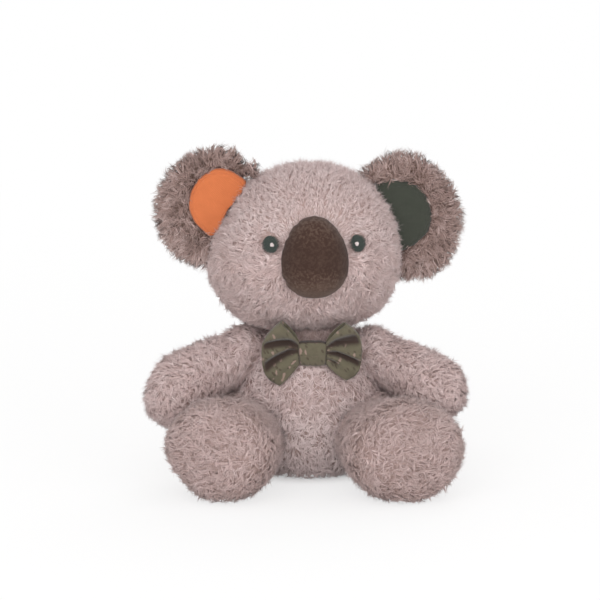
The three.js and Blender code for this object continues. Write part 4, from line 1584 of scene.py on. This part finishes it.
class KOALA_OT_coat(KoalaOperator):
    """Grows the pile on the backings"""

    bl_idname = "koala.coat"
    bl_label = "Pile"

    def execute(self, context):
        body = lock_finish("body_pile", *self.dyes("fur_deep", "fur_mid", "fur_pale"))
        ear = lock_finish("ear_pile", *self.dyes("ear_deep", "ear_mid", "ear_pale"))
        for index, (part, (count, panels, grow)) in enumerate(COATS.items()):
            rng = np.random.default_rng(100 + index)
            points, normals = roots_on(bpy.data.objects[f"{part}_pelt"], count, rng)
            keep = self.in_the_open(part, points, normals)
            points, normals = points[keep], normals[keep]
            coat = grow(points, normals, self.sizes, *part.split("_")[:-1])
            finish, slot = (ear, "long_pile") if part.endswith("_ear") else (body, "fur")
            for panel, chosen in enumerate(np.array_split(np.argsort(points[:, 0]), panels)):
                own = {k: v[chosen] if isinstance(v, np.ndarray) else v for k, v in coat.items()}
                name = f"{part}_fur_{panel + 1}" if panels > 1 else f"{part}_fur"
                fur = lock_mesh(name, points[chosen], normals[chosen], own, self.sizes, rng)
                dress(fur, finish, slot, part)
        return {"FINISHED"}

    def in_the_open(self, part, points, normals):
        """The roots clear of the seat, of the other backings, and of what is sewn on"""
        keep = ~((points[:, 2] < SEAT_HEIGHT) & (normals[:, 2] < -0.6))
        for other in PELTS:
            if other != part:
                backing = bpy.data.objects[f"{other}_pelt"]
                keep[keep] = depth_in(backing, points[keep]) < BACKING_DEPTH
        if part == "head":
            keep[keep] = depth_in(bpy.data.objects["nose"], points[keep]) < -NOSE_CLEAR
            for side in SIDES:
                eye = np.array(middle_of(f"{side}_eye") + EYE_SET[side])
                away = (points - eye) * np.array([1, 0.6, 1])
                keep &= np.linalg.norm(away, axis=1) > EYE_CLEAR
        if part.endswith("_ear"):
            keep &= ~self.under_lining(part, points)
        return keep

    def under_lining(self, part, points):
        """The roots that lie behind the ear's lining"""
        tree = tree_of(bpy.data.objects[f"{part}_patch"])
        front = middle_of(f"{part}_lining").y + 0.008
        hidden = [y < front and seen_from_front(tree, x, z) is not None for x, y, z in points]
        return np.array(hidden)


class KOALA_PT_panel(bpy.types.Panel):
    """Lists the koala's makers"""

    bl_label = "Plush Koala"
    bl_idname = "KOALA_PT_panel"
    bl_space_type = "VIEW_3D"
    bl_region_type = "UI"
    bl_category = "Koala"

    def draw(self, context):
        for operator in OPERATORS:
            self.layout.operator(operator.bl_idname)
        for group in (context.scene.koala_sizes, context.scene.koala_colours):
            box = self.layout.box()
            for name in group.__annotations__:
                box.prop(group, name)


OPERATORS = (
    KOALA_OT_stage, KOALA_OT_pelts, KOALA_OT_nose, KOALA_OT_eyes,
    KOALA_OT_linings, KOALA_OT_bow, KOALA_OT_coat,
)
CLASSES = (KoalaSizes, KoalaColours, *OPERATORS, KOALA_PT_panel)


def register():
    for kind in CLASSES:
        bpy.utils.register_class(kind)
    bpy.types.Scene.koala_sizes = bpy.props.PointerProperty(type=KoalaSizes)
    bpy.types.Scene.koala_colours = bpy.props.PointerProperty(type=KoalaColours)


def unregister():
    del bpy.types.Scene.koala_sizes
    del bpy.types.Scene.koala_colours
    for kind in reversed(CLASSES):
        bpy.utils.unregister_class(kind)


def main():
    register()
    for operator in OPERATORS:
        getattr(bpy.ops.koala, operator.bl_idname.removeprefix("koala."))()


if __name__ == "__main__":
    main()
